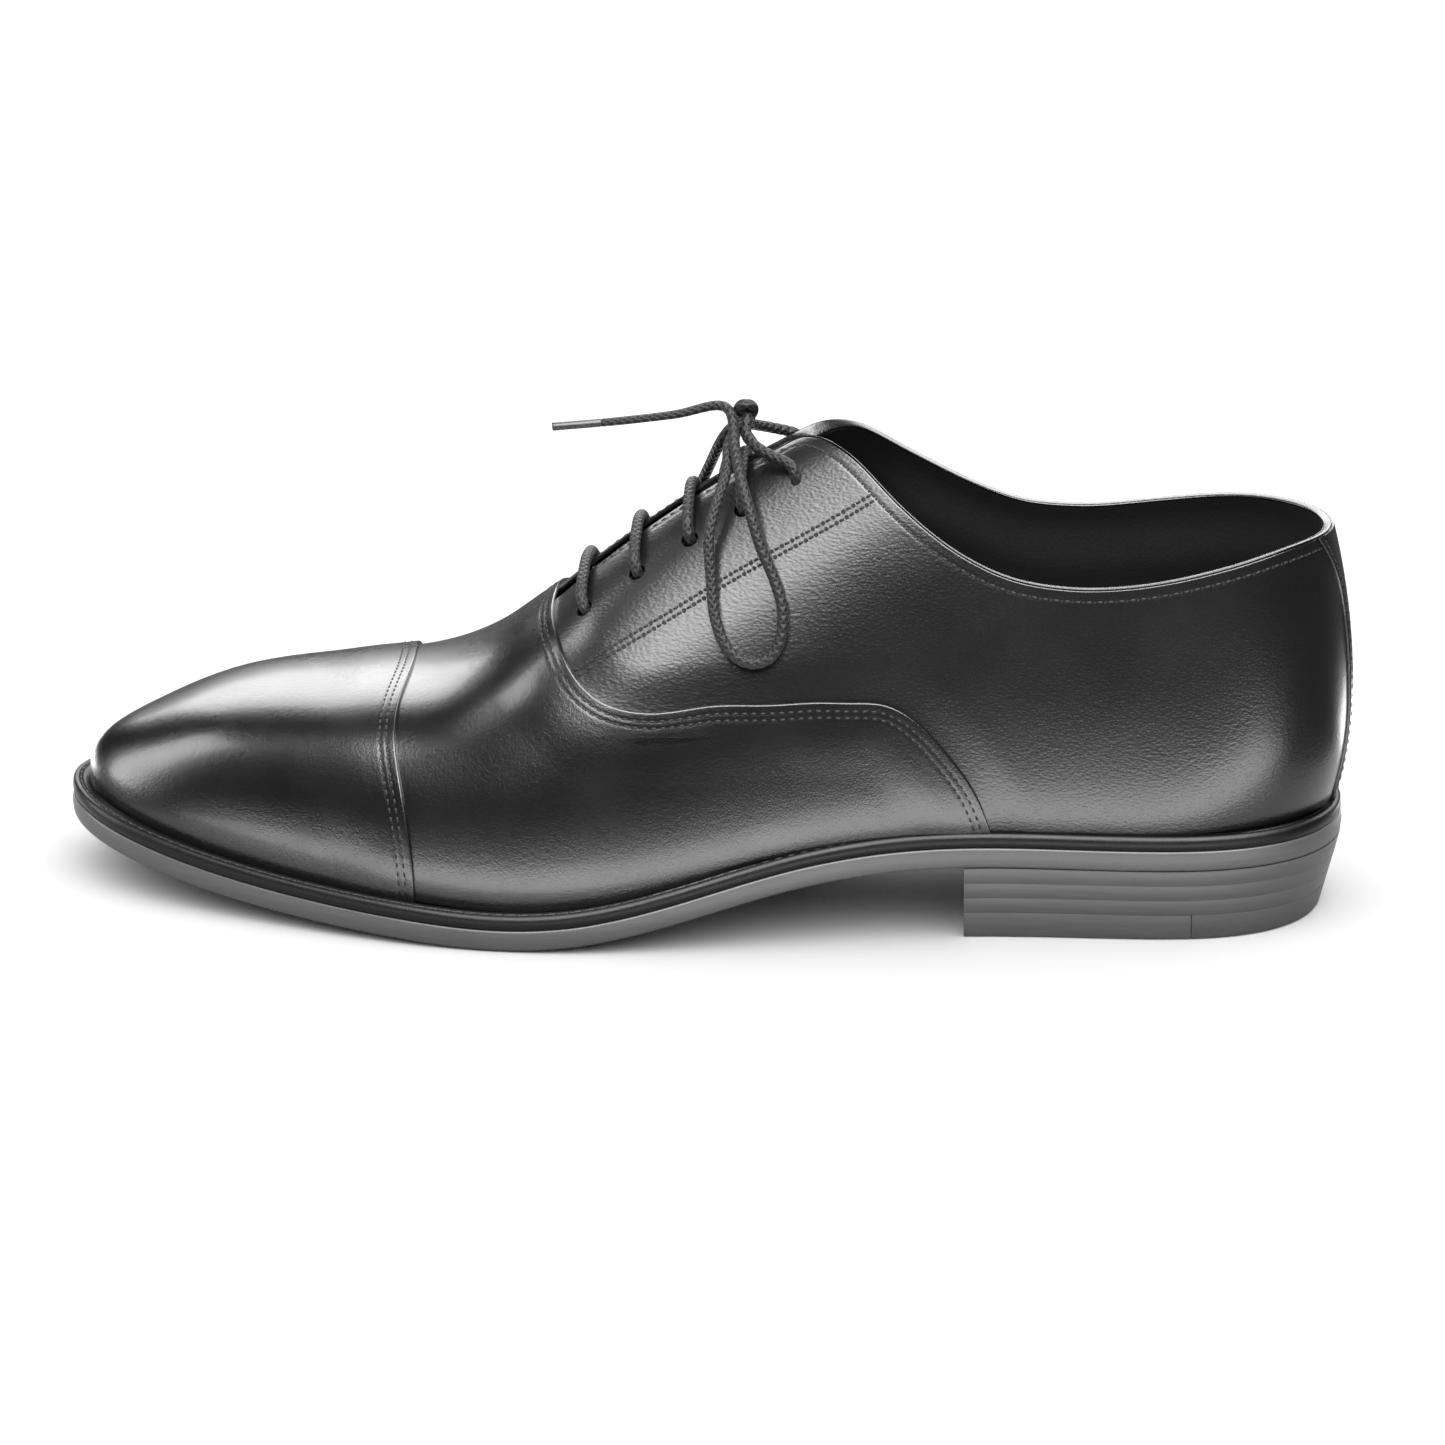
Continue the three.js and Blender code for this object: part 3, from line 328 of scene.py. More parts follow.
def new_object(name, points, faces, sharp=40, weld=0.004):
    """A mesh object from pattern mm; doubles are merged, and a shape that is inside out is turned."""
    mesh = bpy.data.meshes.new(name)
    row = (np.asarray(points, float) + ROW_SHIFT) * MM
    mesh.from_pydata(row.tolist(), [], faces)
    bm = bmesh.new()
    bm.from_mesh(mesh)
    if weld:
        bmesh.ops.remove_doubles(bm, verts=bm.verts, dist=weld * MM)
        bmesh.ops.dissolve_degenerate(bm, dist=1e-7, edges=bm.edges)
    if bm.calc_volume(signed=True) < 0:
        bmesh.ops.reverse_faces(bm, faces=bm.faces)
    bm.to_mesh(mesh)
    bm.free()
    obj = bpy.data.objects.new(name, mesh)
    bpy.context.scene.collection.objects.link(obj)
    mesh.polygons.foreach_set("use_smooth", [True] * len(mesh.polygons))
    mesh.set_sharp_from_angle(angle=math.radians(sharp))
    return obj


def grid_faces(rows, cols, start=0, flip=False, closed=False):
    faces = []
    for i in range(rows - 1):
        for j in range(cols if closed else cols - 1):
            k = (j + 1) % cols
            here, ahead = start + i * cols, start + (i + 1) * cols
            quad = (here + j, ahead + j, ahead + k, here + k)
            faces.append(quad[::-1] if flip else quad)
    return faces


def closed_sheet(name, outer, inner, walls="first last left right", sharp=40):
    """A closed sheet from two equal grids; the named borders get a wall, the others are welded."""
    rows, cols = outer.shape[:2]
    n = rows * cols
    faces = grid_faces(rows, cols) + grid_faces(rows, cols, n, True)
    border = {
        "first": [j for j in range(cols)],
        "last": [(rows - 1) * cols + j for j in range(cols)][::-1],
        "left": [i * cols for i in range(rows)][::-1],
        "right": [i * cols + cols - 1 for i in range(rows)],
    }
    for key in walls.split():
        ids = border[key]
        faces += [(ids[i], ids[i + 1], ids[i + 1] + n, ids[i] + n) for i in range(len(ids) - 1)]
    points = np.concatenate([outer.reshape(-1, 3), inner.reshape(-1, 3)])
    return new_object(name, points, faces, sharp)


# Distances in mm of the close rows of vertices beside a cut edge.
EDGE_ROWS = [
    7.5, 6.8, 6.1, 5.5, 5, 4.6, 4.2, 3.85, 3.5, 3.15, 2.8, 2.4,
    2.0, 1.65, 1.3, 1.0, 0.75, 0.55, 0.38, 0.24, 0.13, 0.05, 0,
]  # fmt: skip


def edged_rows(edge, far, rows, inward):
    """Turn and phi grids from a far border to a cut edge, with close rows beside the edge."""
    first = shifted(*edge, inward * EDGE_ROWS[0])
    t = [mix(far[0], first[0], i / rows) for i in range(rows)]
    phi = [mix(far[1], first[1], i / rows) for i in range(rows)]
    away = [99.0] * rows
    for e in EDGE_ROWS:
        line = shifted(*edge, inward * e) if e else edge
        t.append(line[0])
        phi.append(line[1])
        away.append(e)
    return np.array(t), np.array(phi), np.array(away)[:, None]


def edge_drop(away, radius=0.3, rows=(), depth=0.06, width=0.36):
    """How far the face sinks near its cut edge and along rows of stitches."""
    part = np.clip(1 - away / radius, 0, 1)
    drop = radius * (1 - np.sqrt(np.maximum(1 - part * part, 0)))
    for r in rows:
        drop = drop + depth * np.exp(-(((away - r) / width) ** 2))
    return drop


# ---- levels of the layers, mm outside the last surface ----
CAP_LEVEL = 0.42
SEAM_SINK = 0.13
UNDER_LEVEL = -0.46
STIFF_OUT, STIFF_IN = -2.7, -3.5
LINING_OUT, LINING_IN = -4.0, -4.9
RIM_OUT, RIM_IN = -2.55, -3.45
THIN_RIM_OUT, THIN_RIM_IN = -1.0, -1.75
BACK_SEAM = np.pi - 0.014


def run_at():
    """Level of the lace's runs under the facings."""
    return RIM_IN - 1.6 - size("lace") / 2


def wing_line(count, side=LATERAL):
    return smooth_pairs(WING, count, side)


def whole_wing(count):
    """The vamp's rear edge from the lateral feather over the throat to the medial feather."""
    t, phi = wing_line(count // 2 + 1)
    return np.concatenate([t, t[-2::-1]]), np.concatenate([phi, (np.pi - phi)[-2::-1]])


def nearest_to(line):
    """A function that gives the distance in mm from each point of an array to a line."""
    tree = KDTree(len(line))
    for i, p in enumerate(line):
        tree.insert(Vector(p), i)
    tree.balance()

    def away(points):
        found = [tree.find(Vector(p))[2] for p in points.reshape(-1, 3)]
        return np.array(found).reshape(points.shape[:-1])

    return away


wing_away = {side: nearest_to(last_point(*wing_line(500, side))) for side, _ in SIDES}
wing_d, wing_deg = [np.array(v, float) for v in zip(*WING)]


def wing_angle(d):
    """Section angle of the vamp's rear edge: the quarter is covered below it."""
    inside = np.interp(d, wing_d[::-1], wing_deg[::-1])
    return np.where(d <= THROAT, 90.0, np.where(d > wing_d[0], -10.0, inside))


def dip(t, deg, side):
    """Level of the quarter's face: sunk under the vamp's edge, flush some way behind it."""
    away = wing_away[side](last_point(t, angle(deg, side)))
    covered = deg < wing_angle(station_at(t))
    return np.where(covered, UNDER_LEVEL, mix(UNDER_LEVEL, 0, ease(away / 11)))


# ---- materials ----
class Value:
    """A number, colour or vector in a node tree, so that shader maths reads as Python."""

    def __init__(self, recipe, socket):
        self.recipe = recipe
        self.socket = socket

    def maths(self, operation, *values):
        return self.recipe.node("ShaderNodeMath", {"operation": operation}, *values)

    def __add__(self, other):
        return self.maths("ADD", self, other)

    def __sub__(self, other):
        return self.maths("SUBTRACT", self, other)

    def __mul__(self, other):
        return self.maths("MULTIPLY", self, other)

    def __rsub__(self, other):
        return self.maths("SUBTRACT", other, self)

    __radd__ = __add__
    __rmul__ = __mul__


class Recipe:
    """One procedural material: nodes are added by type, and constants sit on the shader's own sockets."""

    def __init__(self, name, **fixed):
        self.material = bpy.data.materials.new(name)
        self.material.use_nodes = True
        self.tree = self.material.node_tree
        self.shader = next(n for n in self.tree.nodes if n.type == "BSDF_PRINCIPLED")
        for key, value in fixed.items():
            self.shader.inputs[key.replace("_", " ").title().replace("Ior", "IOR")].default_value = value

    def node(self, kind, settings=None, *values, out=0, **named):
        made = self.tree.nodes.new(kind)
        for key, value in (settings or {}).items():
            if key == "stops":
                while len(made.color_ramp.elements) < len(value):
                    made.color_ramp.elements.new(0.5)
                for element, (place, colour) in zip(made.color_ramp.elements, value):
                    element.position = place
                    element.color = colour if len(colour) == 4 else (*colour, 1)
            else:
                setattr(made, key, value)
        for key, value in list(enumerate(values)) + [(k.replace("_", " "), v) for k, v in named.items()]:
            self.put(made.inputs[key], value)
        return Value(self, made.outputs[out])

    def put(self, socket, value):
        if isinstance(value, Value):
            self.tree.links.new(value.socket, socket)
        else:
            socket.default_value = value

    def feed(self, **inputs):
        for key, value in inputs.items():
            self.put(self.shader.inputs[key.replace("_", " ")], value)
        return self.material

    def place(self):
        return self.node("ShaderNodeTexCoord", out="Object")

    def noise(self, where, scale, detail=3.0, rough=0.5):
        grain = {"Scale": scale, "Detail": detail, "Roughness": rough}
        return self.node("ShaderNodeTexNoise", None, Vector=where, **grain)

    def cells(self, where, scale, feature="F1"):
        return self.node("ShaderNodeTexVoronoi", {"feature": feature}, Vector=where, Scale=scale)

    def between(self, share, low, high):
        return self.node("ShaderNodeMapRange", None, share, 0.0, 1.0, low, high)

    def tint(self, share, dark, light):
        ramp = {"stops": [(0.0, dark), (1.0, light)]}
        return self.node("ShaderNodeValToRGB", ramp, share)

    def bump(self, height, distance, strength=1.0, over=None):
        made = self.node("ShaderNodeBump", None, Strength=strength, Distance=distance, Height=height)
        if over is not None:
            self.put(made.socket.node.inputs["Normal"], over)
        return made


def dark(colour, share):
    return tuple(c * share for c in colour[:3]) + (1.0,)


def smooth_leather(name, colour, rough=0.27, coat=0.2):
    r = Recipe(name, specular_ior_level=0.5, coat_roughness=0.14)
    where = r.place()
    patches = r.noise(where, 55, 4)
    pores = r.noise(where, 2300, 2)
    wrinkles = r.noise(where, 900, 3, 0.6)
    fine = r.bump(pores, 0.0001, 0.5)
    both = r.bump(wrinkles, 0.00012, 0.4, fine)
    return r.feed(
        Base_Color=r.tint(patches, dark(colour, 0.75), dark(colour, 1.25)),
        Roughness=r.between(patches, rough - 0.05, rough + 0.06),
        Coat_Weight=r.between(r.noise(where, 120, 2), coat - 0.1, coat + 0.1),
        Normal=both,
    )


def grain_leather(name, colour, rough=0.29):
    r = Recipe(name, specular_ior_level=0.5, coat_roughness=0.2)
    where = r.place()
    patches = r.noise(where, 45, 4)
    flat = r.node("ShaderNodeMapping", None, Vector=where, Scale=(0.7, 1.0, 1.25))
    pebbles = r.cells(flat, 1500, "SMOOTH_F1")
    creases = r.noise(flat, 1500, 3, 0.6)
    first = r.bump(pebbles, 0.00013, 0.35)
    both = r.bump(creases, 0.00008, 0.3, first)
    return r.feed(
        Base_Color=r.tint(pebbles, dark(colour, 1.2), dark(colour, 0.7)),
        Roughness=r.between(patches, rough - 0.05, rough + 0.07),
        Coat_Weight=r.between(patches, 0.12, 0.3),
        Normal=both,
    )


def soft_lining(name, colour):
    r = Recipe(name, sheen_weight=0.015, sheen_roughness=0.5, specular_ior_level=0.09)
    where = r.place()
    pores = r.cells(where, 1300, "F1")
    cloud = r.noise(where, 60, 5)
    return r.feed(
        Base_Color=r.tint(cloud, dark(colour, 0.7), dark(colour, 1.5)),
        Roughness=r.between(pores, 0.7, 0.9),
        Normal=r.bump(pores, 0.0001, 0.5),
    )


def sole_edge(name, colour, rough=0.42):
    r = Recipe(name, specular_ior_level=0.5)
    where = r.place()
    flat = r.node("ShaderNodeMapping", None, Vector=where, Scale=(60.0, 60.0, 1500.0))
    streaks = r.noise(flat, 1.0, 4, 0.6)
    pores = r.noise(where, 1800, 2)
    return r.feed(
        Base_Color=r.tint(streaks, dark(colour, 0.72), dark(colour, 1.3)),
        Roughness=r.between(streaks, rough - 0.07, rough + 0.1),
        Normal=r.bump(pores, 0.00006, 0.5, r.bump(streaks, 0.00008, 0.35)),
    )


def inked_welt(name, colour):
    r = Recipe(name, specular_ior_level=0.22)
    where = r.place()
    grain = r.noise(where, 1400, 3, 0.6)
    return r.feed(
        Base_Color=r.tint(grain, dark(colour, 0.6), dark(colour, 1.5)),
        Roughness=r.between(r.noise(where, 90, 3), 0.3, 0.5),
        Normal=r.bump(grain, 0.0001, 0.5),
    )


def waxed_thread(name, colour):
    r = Recipe(name, specular_ior_level=0.22)
    where = r.place()
    fibre = r.noise(where, 5200, 2, 0.6)
    return r.feed(
        Base_Color=r.tint(fibre, dark(colour, 0.6), dark(colour, 1.5)),
        Roughness=r.between(fibre, 0.42, 0.62),
        Normal=r.bump(fibre, 0.00005, 0.5),
    )


def braided(name, colour):
    """Crossing strands from the cord's own UV: u turns once round it, v counts plaits along it."""
    r = Recipe(name, sheen_weight=0.02, sheen_roughness=0.4, specular_ior_level=0.2)
    uv = r.node("ShaderNodeUVMap", {"uv_map": "along"})
    apart = uv.recipe.node("ShaderNodeSeparateXYZ", None, uv)
    u = Value(r, apart.socket.node.outputs[0])
    v = Value(r, apart.socket.node.outputs[1])
    one = u.maths("SINE", (u * 5.0 + v) * math.tau)
    two = u.maths("SINE", (u * 5.0 - v) * math.tau)
    plait = one.maths("MAXIMUM", one, two) * 0.5 + 0.5
    fibre = r.noise(r.place(), 6000, 2)
    return r.feed(
        # Painted shade: the base colour runs from dark in the grooves between the strands to light on their
        # crests.
        Base_Color=r.tint(plait, dark(colour, 0.3), dark(colour, 1.5)),
        Roughness=r.between(fibre, 0.38, 0.6),
        Normal=r.bump(fibre, 0.00004, 0.4, r.bump(plait, 0.00025, 0.6)),
    )


def plain_finish(name, colour, low, high, scale, depth=0.0001, metal=0.0, spread=0.35):
    """Mottled colour and roughness with a fine bump: fibre board, cork, rubber, tape and metal."""
    r = Recipe(name, metallic=metal)
    where = r.place()
    spots = r.noise(where, scale, 4, 0.6)
    return r.feed(
        Base_Color=r.tint(spots, dark(colour, 1 - spread), dark(colour, 1 + spread)),
        Roughness=r.between(spots, low, high),
        Normal=r.bump(spots, depth, 0.5),
    )


SLOT_OF_NODE = {row["node"]: row["material_slot"] for row in frame["record"]["subparts"]}
finishes = {}


def make_finishes():
    looks = bpy.context.scene.shoe_looks
    finishes.update(
        smooth_leather=smooth_leather("polished_calf", looks.upper),
        grain_leather=grain_leather("fine_grain_calf", looks.quarter),
        lining=soft_lining("lining_leather", looks.lining),
        sole_leather=sole_edge("burnished_sole_leather", looks.sole),
        welt_leather=inked_welt("inked_welt", looks.welt),
        thread=waxed_thread("waxed_thread", looks.thread),
        # Matt near-black finish of the discs that paint the shade in the needle holes.
        needle_hole=plain_finish("needle_hole", (0.0008, 0.0008, 0.0008), 0.9, 1.0, 900),
        lace_cotton=braided("braided_lace", looks.lace),
        rubber=plain_finish("heel_rubber", (0.03, 0.03, 0.031), 0.42, 0.6, 900),
        stiffener=plain_finish("stiffener_board", (0.36, 0.27, 0.17), 0.75, 0.95, 700),
        cotton_tape=plain_finish("cotton_tape", (0.02, 0.02, 0.021), 0.8, 0.95, 2400),
        cork=plain_finish("cork_filler", (0.33, 0.2, 0.1), 0.85, 0.98, 420, 0.0003),
        shank_steel=plain_finish("spring_steel", (0.5, 0.5, 0.52), 0.28, 0.4, 300, 0.00002, 1.0, 0.12),
        brass=plain_finish("aged_brass", (0.5, 0.36, 0.14), 0.28, 0.42, 500, 0.00002, 1.0, 0.15),
        aglet_plastic=plain_finish("aglet_sleeve", (0.014, 0.014, 0.015), 0.2, 0.34, 800, 0.00003),
    )


def finish_piece(obj, slot, nodes=(), body=None, look=None):
    """Material, slot, replaced CAD nodes and body of a finished piece; with no body its transform is baked
    into the mesh.
    """
    obj.data.materials.clear()
    obj.data.materials.append(finishes[look or slot])
    if nodes:
        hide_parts(*nodes)
    if body:
        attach(obj, body)
    else:
        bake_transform(obj)
    return obj


# ---- stitches ----
def stitch_mesh(name, runs, slot, body=None, shade_disc_size=0.62, lift=0.0, dash=0.74):
    """Thread dashes along runs of (points, normals, pitch, width), in mm, and a near-black disc over each
    needle hole that paints the hole's shade.
    """
    rings = [(-0.5, 0.3, -0.3), (-0.36, 0.85, -0.06), (0, 1.0, 0.0), (0.36, 0.85, -0.06), (0.5, 0.3, -0.3)]
    sides = 6
    points, faces, holes = [], [], []
    for line, normals, pitch, width in runs:
        run = lengths(line)
        count = max(1, int(round(run[-1] / pitch)))
        real = run[-1] / count
        middles = (np.arange(count) + 0.5) * real
        here = np.stack([np.interp(middles, run, line[:, k]) for k in range(3)], 1)
        ahead = np.stack([np.interp(middles + 0.2, run, line[:, k]) for k in range(3)], 1)
        behind = np.stack([np.interp(middles - 0.2, run, line[:, k]) for k in range(3)], 1)
        up = unit(np.stack([np.interp(middles, run, normals[:, k]) for k in range(3)], 1))
        along = unit(ahead - behind)
        across = np.cross(up, along)
        length = real * dash
        hole = np.arange(count) * real
        mouth = np.stack([np.interp(hole, run, line[:, k]) for k in range(3)], 1)
        holes += list(zip(mouth, along, up, across, [width] * count))
        for c, a, n, s in zip(here, along, up, across):
            start = len(points)
            for share, thick, sink in rings:
                for k in range(sides):
                    w = math.tau * k / sides
                    side = s * math.cos(w) * width / 2 * thick
                    rise = n * (math.sin(w) * width * 0.42 * thick + sink + 0.04)
                    points.append(c + a * share * length + side + rise)
            faces += grid_faces(len(rings), sides, start, closed=True)
            faces.append(tuple(start + k for k in range(sides)))
            faces.append(tuple(start + (len(rings) - 1) * sides + k for k in reversed(range(sides))))
    threads = len(faces)
    # Near-black discs over the needle holes: painted shade of the holes.
    for c, a, n, s, width in holes:
        start = len(points)
        for reach, rise in ((1.0, -0.35), (0.85, 0.05 + lift), (0.4, 0.02 + lift)):
            for k in range(sides):
                w = math.tau * k / sides
                points.append(c + (a * math.cos(w) + s * math.sin(w)) * width * shade_disc_size * reach + n * rise)
        faces += grid_faces(3, sides, start, closed=True)
        faces.append(tuple(start + k for k in range(sides)))
        faces.append(tuple(start + 2 * sides + k for k in reversed(range(sides))))
    obj = new_object(name, points, faces, 60, weld=0)
    finish_piece(obj, slot, body=body, look="thread")
    obj.data.materials.append(finishes["needle_hole"])
    faces_of = obj.data.polygons
    faces_of.foreach_set("material_index", [0 if i < threads else 1 for i in range(len(faces_of))])
    return obj


def on_last(t, phi, level):
    return last_offset(t, phi, np.broadcast_to(level, t.shape)), last_normal(t, phi)


# ---- sole unit ----
def folded(s):
    """Turn angle and plan side of a way round the shoe: 0 to pi is lateral, pi to 2 pi comes back medial."""
    return np.where(s > np.pi, 2 * np.pi - s, s), np.where(s > np.pi, 1, -1)


def plan_outward(plan):
    """Outward directions in plan along a closed outline."""
    along = np.roll(plan, -1, 0) - np.roll(plan, 1, 0)
    out = unit(np.stack([-along[:, 1], along[:, 0]], 1))
    return out * np.sign(((plan - plan.mean(0)) * out).sum(1).sum())


def sole_outline(count):
    """Plan points, outward plan directions and stations round the sole, lateral side first."""
    s = np.linspace(0, 2 * np.pi, count, endpoint=False)
    t, hand = folded(s)
    d = SOLE_TO * (1 - np.cos(t)) / 2
    plan = np.stack([d, centre_line(d) + hand * sole_half(d)], 1)
    return s, plan, plan_outward(plan), d


def across_faces(count, start, flip):
    """Faces of strips across a closed outline whose points i and count - i lie opposite each other."""
    faces = [(start, start + 1, start + count - 1)]
    for i in range(1, count // 2 - 1):
        faces.append((start + i, start + i + 1, start + count - i - 1, start + count - i))
    half = count // 2
    faces.append((start + half - 1, start + half, start + half + 1))
    return [f[::-1] for f in faces] if flip else faces


def moulded_slab(name, plan, out, profile, level, sharp=50):
    """A closed slab: the outline is repeated at each (inset, height) of the profile, bottom first."""
    n = len(plan)
    points = []
    for inset, height in profile:
        p = plan - out * inset
        points.append(np.column_stack([p, level(p[:, 0]) + height]))
    faces = grid_faces(len(profile), n, closed=True)
    faces += across_faces(n, 0, False)
    faces += across_faces(n, (len(profile) - 1) * n, True)
    return new_object(name, np.concatenate(points), faces, sharp)


def rounded_profile(low, high, radius, deep=6.0, bow=0.0):
    a = np.linspace(0, np.pi / 2, 5)
    foot = [(radius * (1 - math.sin(x)), low + radius * (1 - math.cos(x))) for x in a]
    head = [(radius * (1 - math.cos(x)), high - radius * (1 - math.sin(x))) for x in a]
    middle = [(-bow, (low + high) / 2)]
    return [(deep, low)] + foot + middle + head + [(deep, high)]


class SHOE_OT_outsole(bpy.types.Operator):
    """Leather outsole with rounded, inked edges"""

    bl_idname = "shoe.outsole"
    bl_label = "Outsole"

    def execute(self, context):
        profile = rounded_profile(0.0, SOLE_T, 0.7, bow=0.25)
        _, plan, out, _ = sole_outline(420)
        obj = moulded_slab("outsole_leather", plan, out, profile, sole_bottom)
        finish_piece(obj, "sole_leather", ["outsole"])
        return {"FINISHED"}


WELT_THREAD = 1.2
WELT_SEAM_END = 208


class SHOE_OT_welt(bpy.types.Operator):
    """Welt with a stitch groove, and its stitches, round the whole shoe"""

    bl_idname = "shoe.welt"
    bl_label = "Welt"

    def execute(self, context):
        s, plan, out, d = sole_outline(480)
        t, hand = folded(s)
        phi = np.where(hand > 0, np.pi - np.radians(2), np.radians(2))
        wall = last_offset(t, phi, np.full(t.shape, 0.1))
        low, high = SOLE_T + 0.05, SOLE_T + WELT_T
        groove_at, groove_w, groove_d = size("welt_inset"), 0.55, 0.45
        section = [(0.35, low), (0.05, low + 0.25), (-0.1, low + 1.2), (-0.05, high - 1.1)]
        section += [(0.25, high - 0.45), (0.7, high - 0.12), (1.1, high)]
        for k in range(-3, 4):
            x = k / 3
            section.append((groove_at + x * groove_w, high - groove_d * (1 - x * x) ** 1.5))
        ring = []
        for inset, height in section:
            p = plan - out * inset
            ring.append(np.column_stack([p, sole_bottom(p[:, 0]) + height]))
        for share, height in [(0.8, high - 0.05), (1.0, high - 0.35), (1.0, low)]:
            p = plan + (wall[:, :2] - plan) * share
            ring.append(np.column_stack([p, sole_bottom(p[:, 0]) + height]))
        n = len(plan)
        k = len(ring)
        faces = grid_faces(k, n, closed=True) + [
            (j + (k - 1) * n, j, (j + 1) % n, (j + 1) % n + (k - 1) * n) for j in range(n)
        ]
        obj = new_object("welt_leather_strip", np.concatenate(ring), faces, 50)
        finish_piece(obj, "welt_leather", ["welt"])
        seat = plan - out * groove_at
        line = np.column_stack([seat, sole_bottom(seat[:, 0]) + high - groove_d + 0.22])
        used = d < WELT_SEAM_END
        first = np.where(used & (s <= np.pi))[0]
        second = np.where(used & (s > np.pi))[0]
        order = np.concatenate([second, first])
        up = np.tile([0.0, 0.0, 1.0], (len(order), 1))
        run = (line[order], up, size("welt_pitch"), size("thread") * WELT_THREAD)
        stitch_mesh("welt_stitching", [run], "welt_leather")
        return {"FINISHED"}


def inner_board(name, inset, low, thick, slot, node, to=None, crown=0.0, look=None):
    """A board inside the upper, its outline set in from the feather line."""
    count = 260
    t, hand = folded(np.linspace(0, 2 * np.pi, count, endpoint=False))
    if to:
        t = t / np.pi * float(upper_turn(to))
    d = station_at(t)
    place = mix(UPPER_FROM + inset, UPPER_TO - inset - 4, (d - UPPER_FROM) / (UPPER_TO - UPPER_FROM))
    w = np.maximum(upper_half(d) - inset * np.sin(t) ** 0.25, 0)
    if to:
        w = w * np.sqrt(np.clip((to + 1.5 - d) / 6, 0, 1))
    plan = np.stack([place, centre_line(place) + hand * w], 1)
    profile = [(3.0, low), (0.1, low), (0.0, low + 0.15), (0.0, low + thick - 0.3), (0.3, low + thick)]
    profile.append((3.0, low + thick + crown))
    obj = moulded_slab(name, plan, plan_outward(plan), profile, sole_bottom)
    return finish_piece(obj, slot, [node], look=look)


class SHOE_OT_boards(bpy.types.Operator):
    """Insole, cork filler and sock lining"""

    bl_idname = "shoe.boards"
    bl_label = "Insole and sock lining"

    def execute(self, context):
        inner_board("insole_board", 7.2, SOLE_T + 2.9, 2.2, "sole_leather", "insole", look="stiffener")
        inner_board("cork_filling", 8.0, SOLE_T + 0.3, 2.0, "cork", "bottom_filler", to=146)
        inner_board("sock_leather", 6.9, SOLE_T + 5.5, 0.9, "lining", "sock_lining", crown=0.12)
        return {"FINISHED"}


# ---- heel ----
HEEL_BREAST = 215.0
HEEL_TAPER = 0.035
HEEL_LEAN = 4.5
RUBBER_FROM = 268.0
TOP_PIECE_T = 6.0
LIFT_GAP = 0.01
CUT_GAP = 0.05


def heel_outline(z, count=96):
    k = 1 - z / HEEL_RISE
    t0 = float(sole_turn(HEEL_BREAST))
    t, hand = folded(np.linspace(t0, 2 * np.pi - t0, count))
    d = SOLE_TO * (1 - np.cos(t)) / 2
    across = hand * sole_half(d) * (1 - HEEL_TAPER * k)
    back = HEEL_LEAN * k * ((d - HEEL_BREAST) / (SOLE_TO - HEEL_BREAST)) ** 2
    return np.column_stack([d - back, centre_line(d) + across])


def heel_layer(name, low, high, node, slot, cut_at=None, keep_back=False, seat=False, bevel=0.14):
    """A heel layer: its outline is extruded up, tapered to its upper outline, cut if asked and bevelled."""
    deselect()
    foot, head = heel_outline(low), heel_outline(high)
    n = len(foot)
    mesh = bpy.data.meshes.new(name)
    points = (np.column_stack([foot, np.full(n, low)]) + ROW_SHIFT) * MM
    mesh.from_pydata(points.tolist(), [], [tuple(range(n))])
    obj = bpy.data.objects.new(name, mesh)
    bpy.context.scene.collection.objects.link(obj)
    obj.select_set(True)
    bpy.context.view_layer.objects.active = obj
    bpy.ops.object.mode_set(mode="EDIT")
    bpy.ops.mesh.select_all(action="SELECT")
    bpy.ops.mesh.extrude_region_move(TRANSFORM_OT_translate={"value": (0, 0, (high - low) * MM)})
    bm = bmesh.from_edit_mesh(mesh)
    bm.verts.ensure_lookup_table()
    tree = KDTree(n)
    for i, p in enumerate(foot):
        tree.insert(Vector(((p[0] + ROW_SHIFT[0]) * MM, (p[1] + ROW_SHIFT[1]) * MM, 0)), i)
    tree.balance()
    for v in bm.verts:
        if v.co.z > (low + high) / 2 * MM:
            i = tree.find(Vector((v.co.x, v.co.y, 0)))[1]
            x, y = head[i]
            z = float(sole_bottom(x)) - 0.06 if seat else high
            v.co = Vector(((x + ROW_SHIFT[0]) * MM, (y + ROW_SHIFT[1]) * MM, z * MM))
    bmesh.update_edit_mesh(mesh)
    if cut_at:
        bpy.ops.mesh.select_all(action="SELECT")
        bpy.ops.mesh.bisect(
            plane_co=((cut_at + ROW_SHIFT[0]) * MM, 0, 0),
            plane_no=(1, 0, 0),
            use_fill=True,
            clear_inner=keep_back,
            clear_outer=not keep_back,
        )
    bpy.ops.mesh.select_all(action="SELECT")
    bpy.ops.mesh.normals_make_consistent(inside=False)
    bpy.ops.object.mode_set(mode="OBJECT")
    rim = obj.modifiers.new("rim", "BEVEL")
    rim.width = bevel * MM
    rim.segments = 2
    rim.limit_method = "ANGLE"
    rim.angle_limit = math.radians(50)
    bpy.ops.object.modifier_apply(modifier="rim")
    bpy.ops.object.shade_smooth_by_angle(angle=math.radians(35))
    return finish_piece(obj, slot, [node], "shoe")


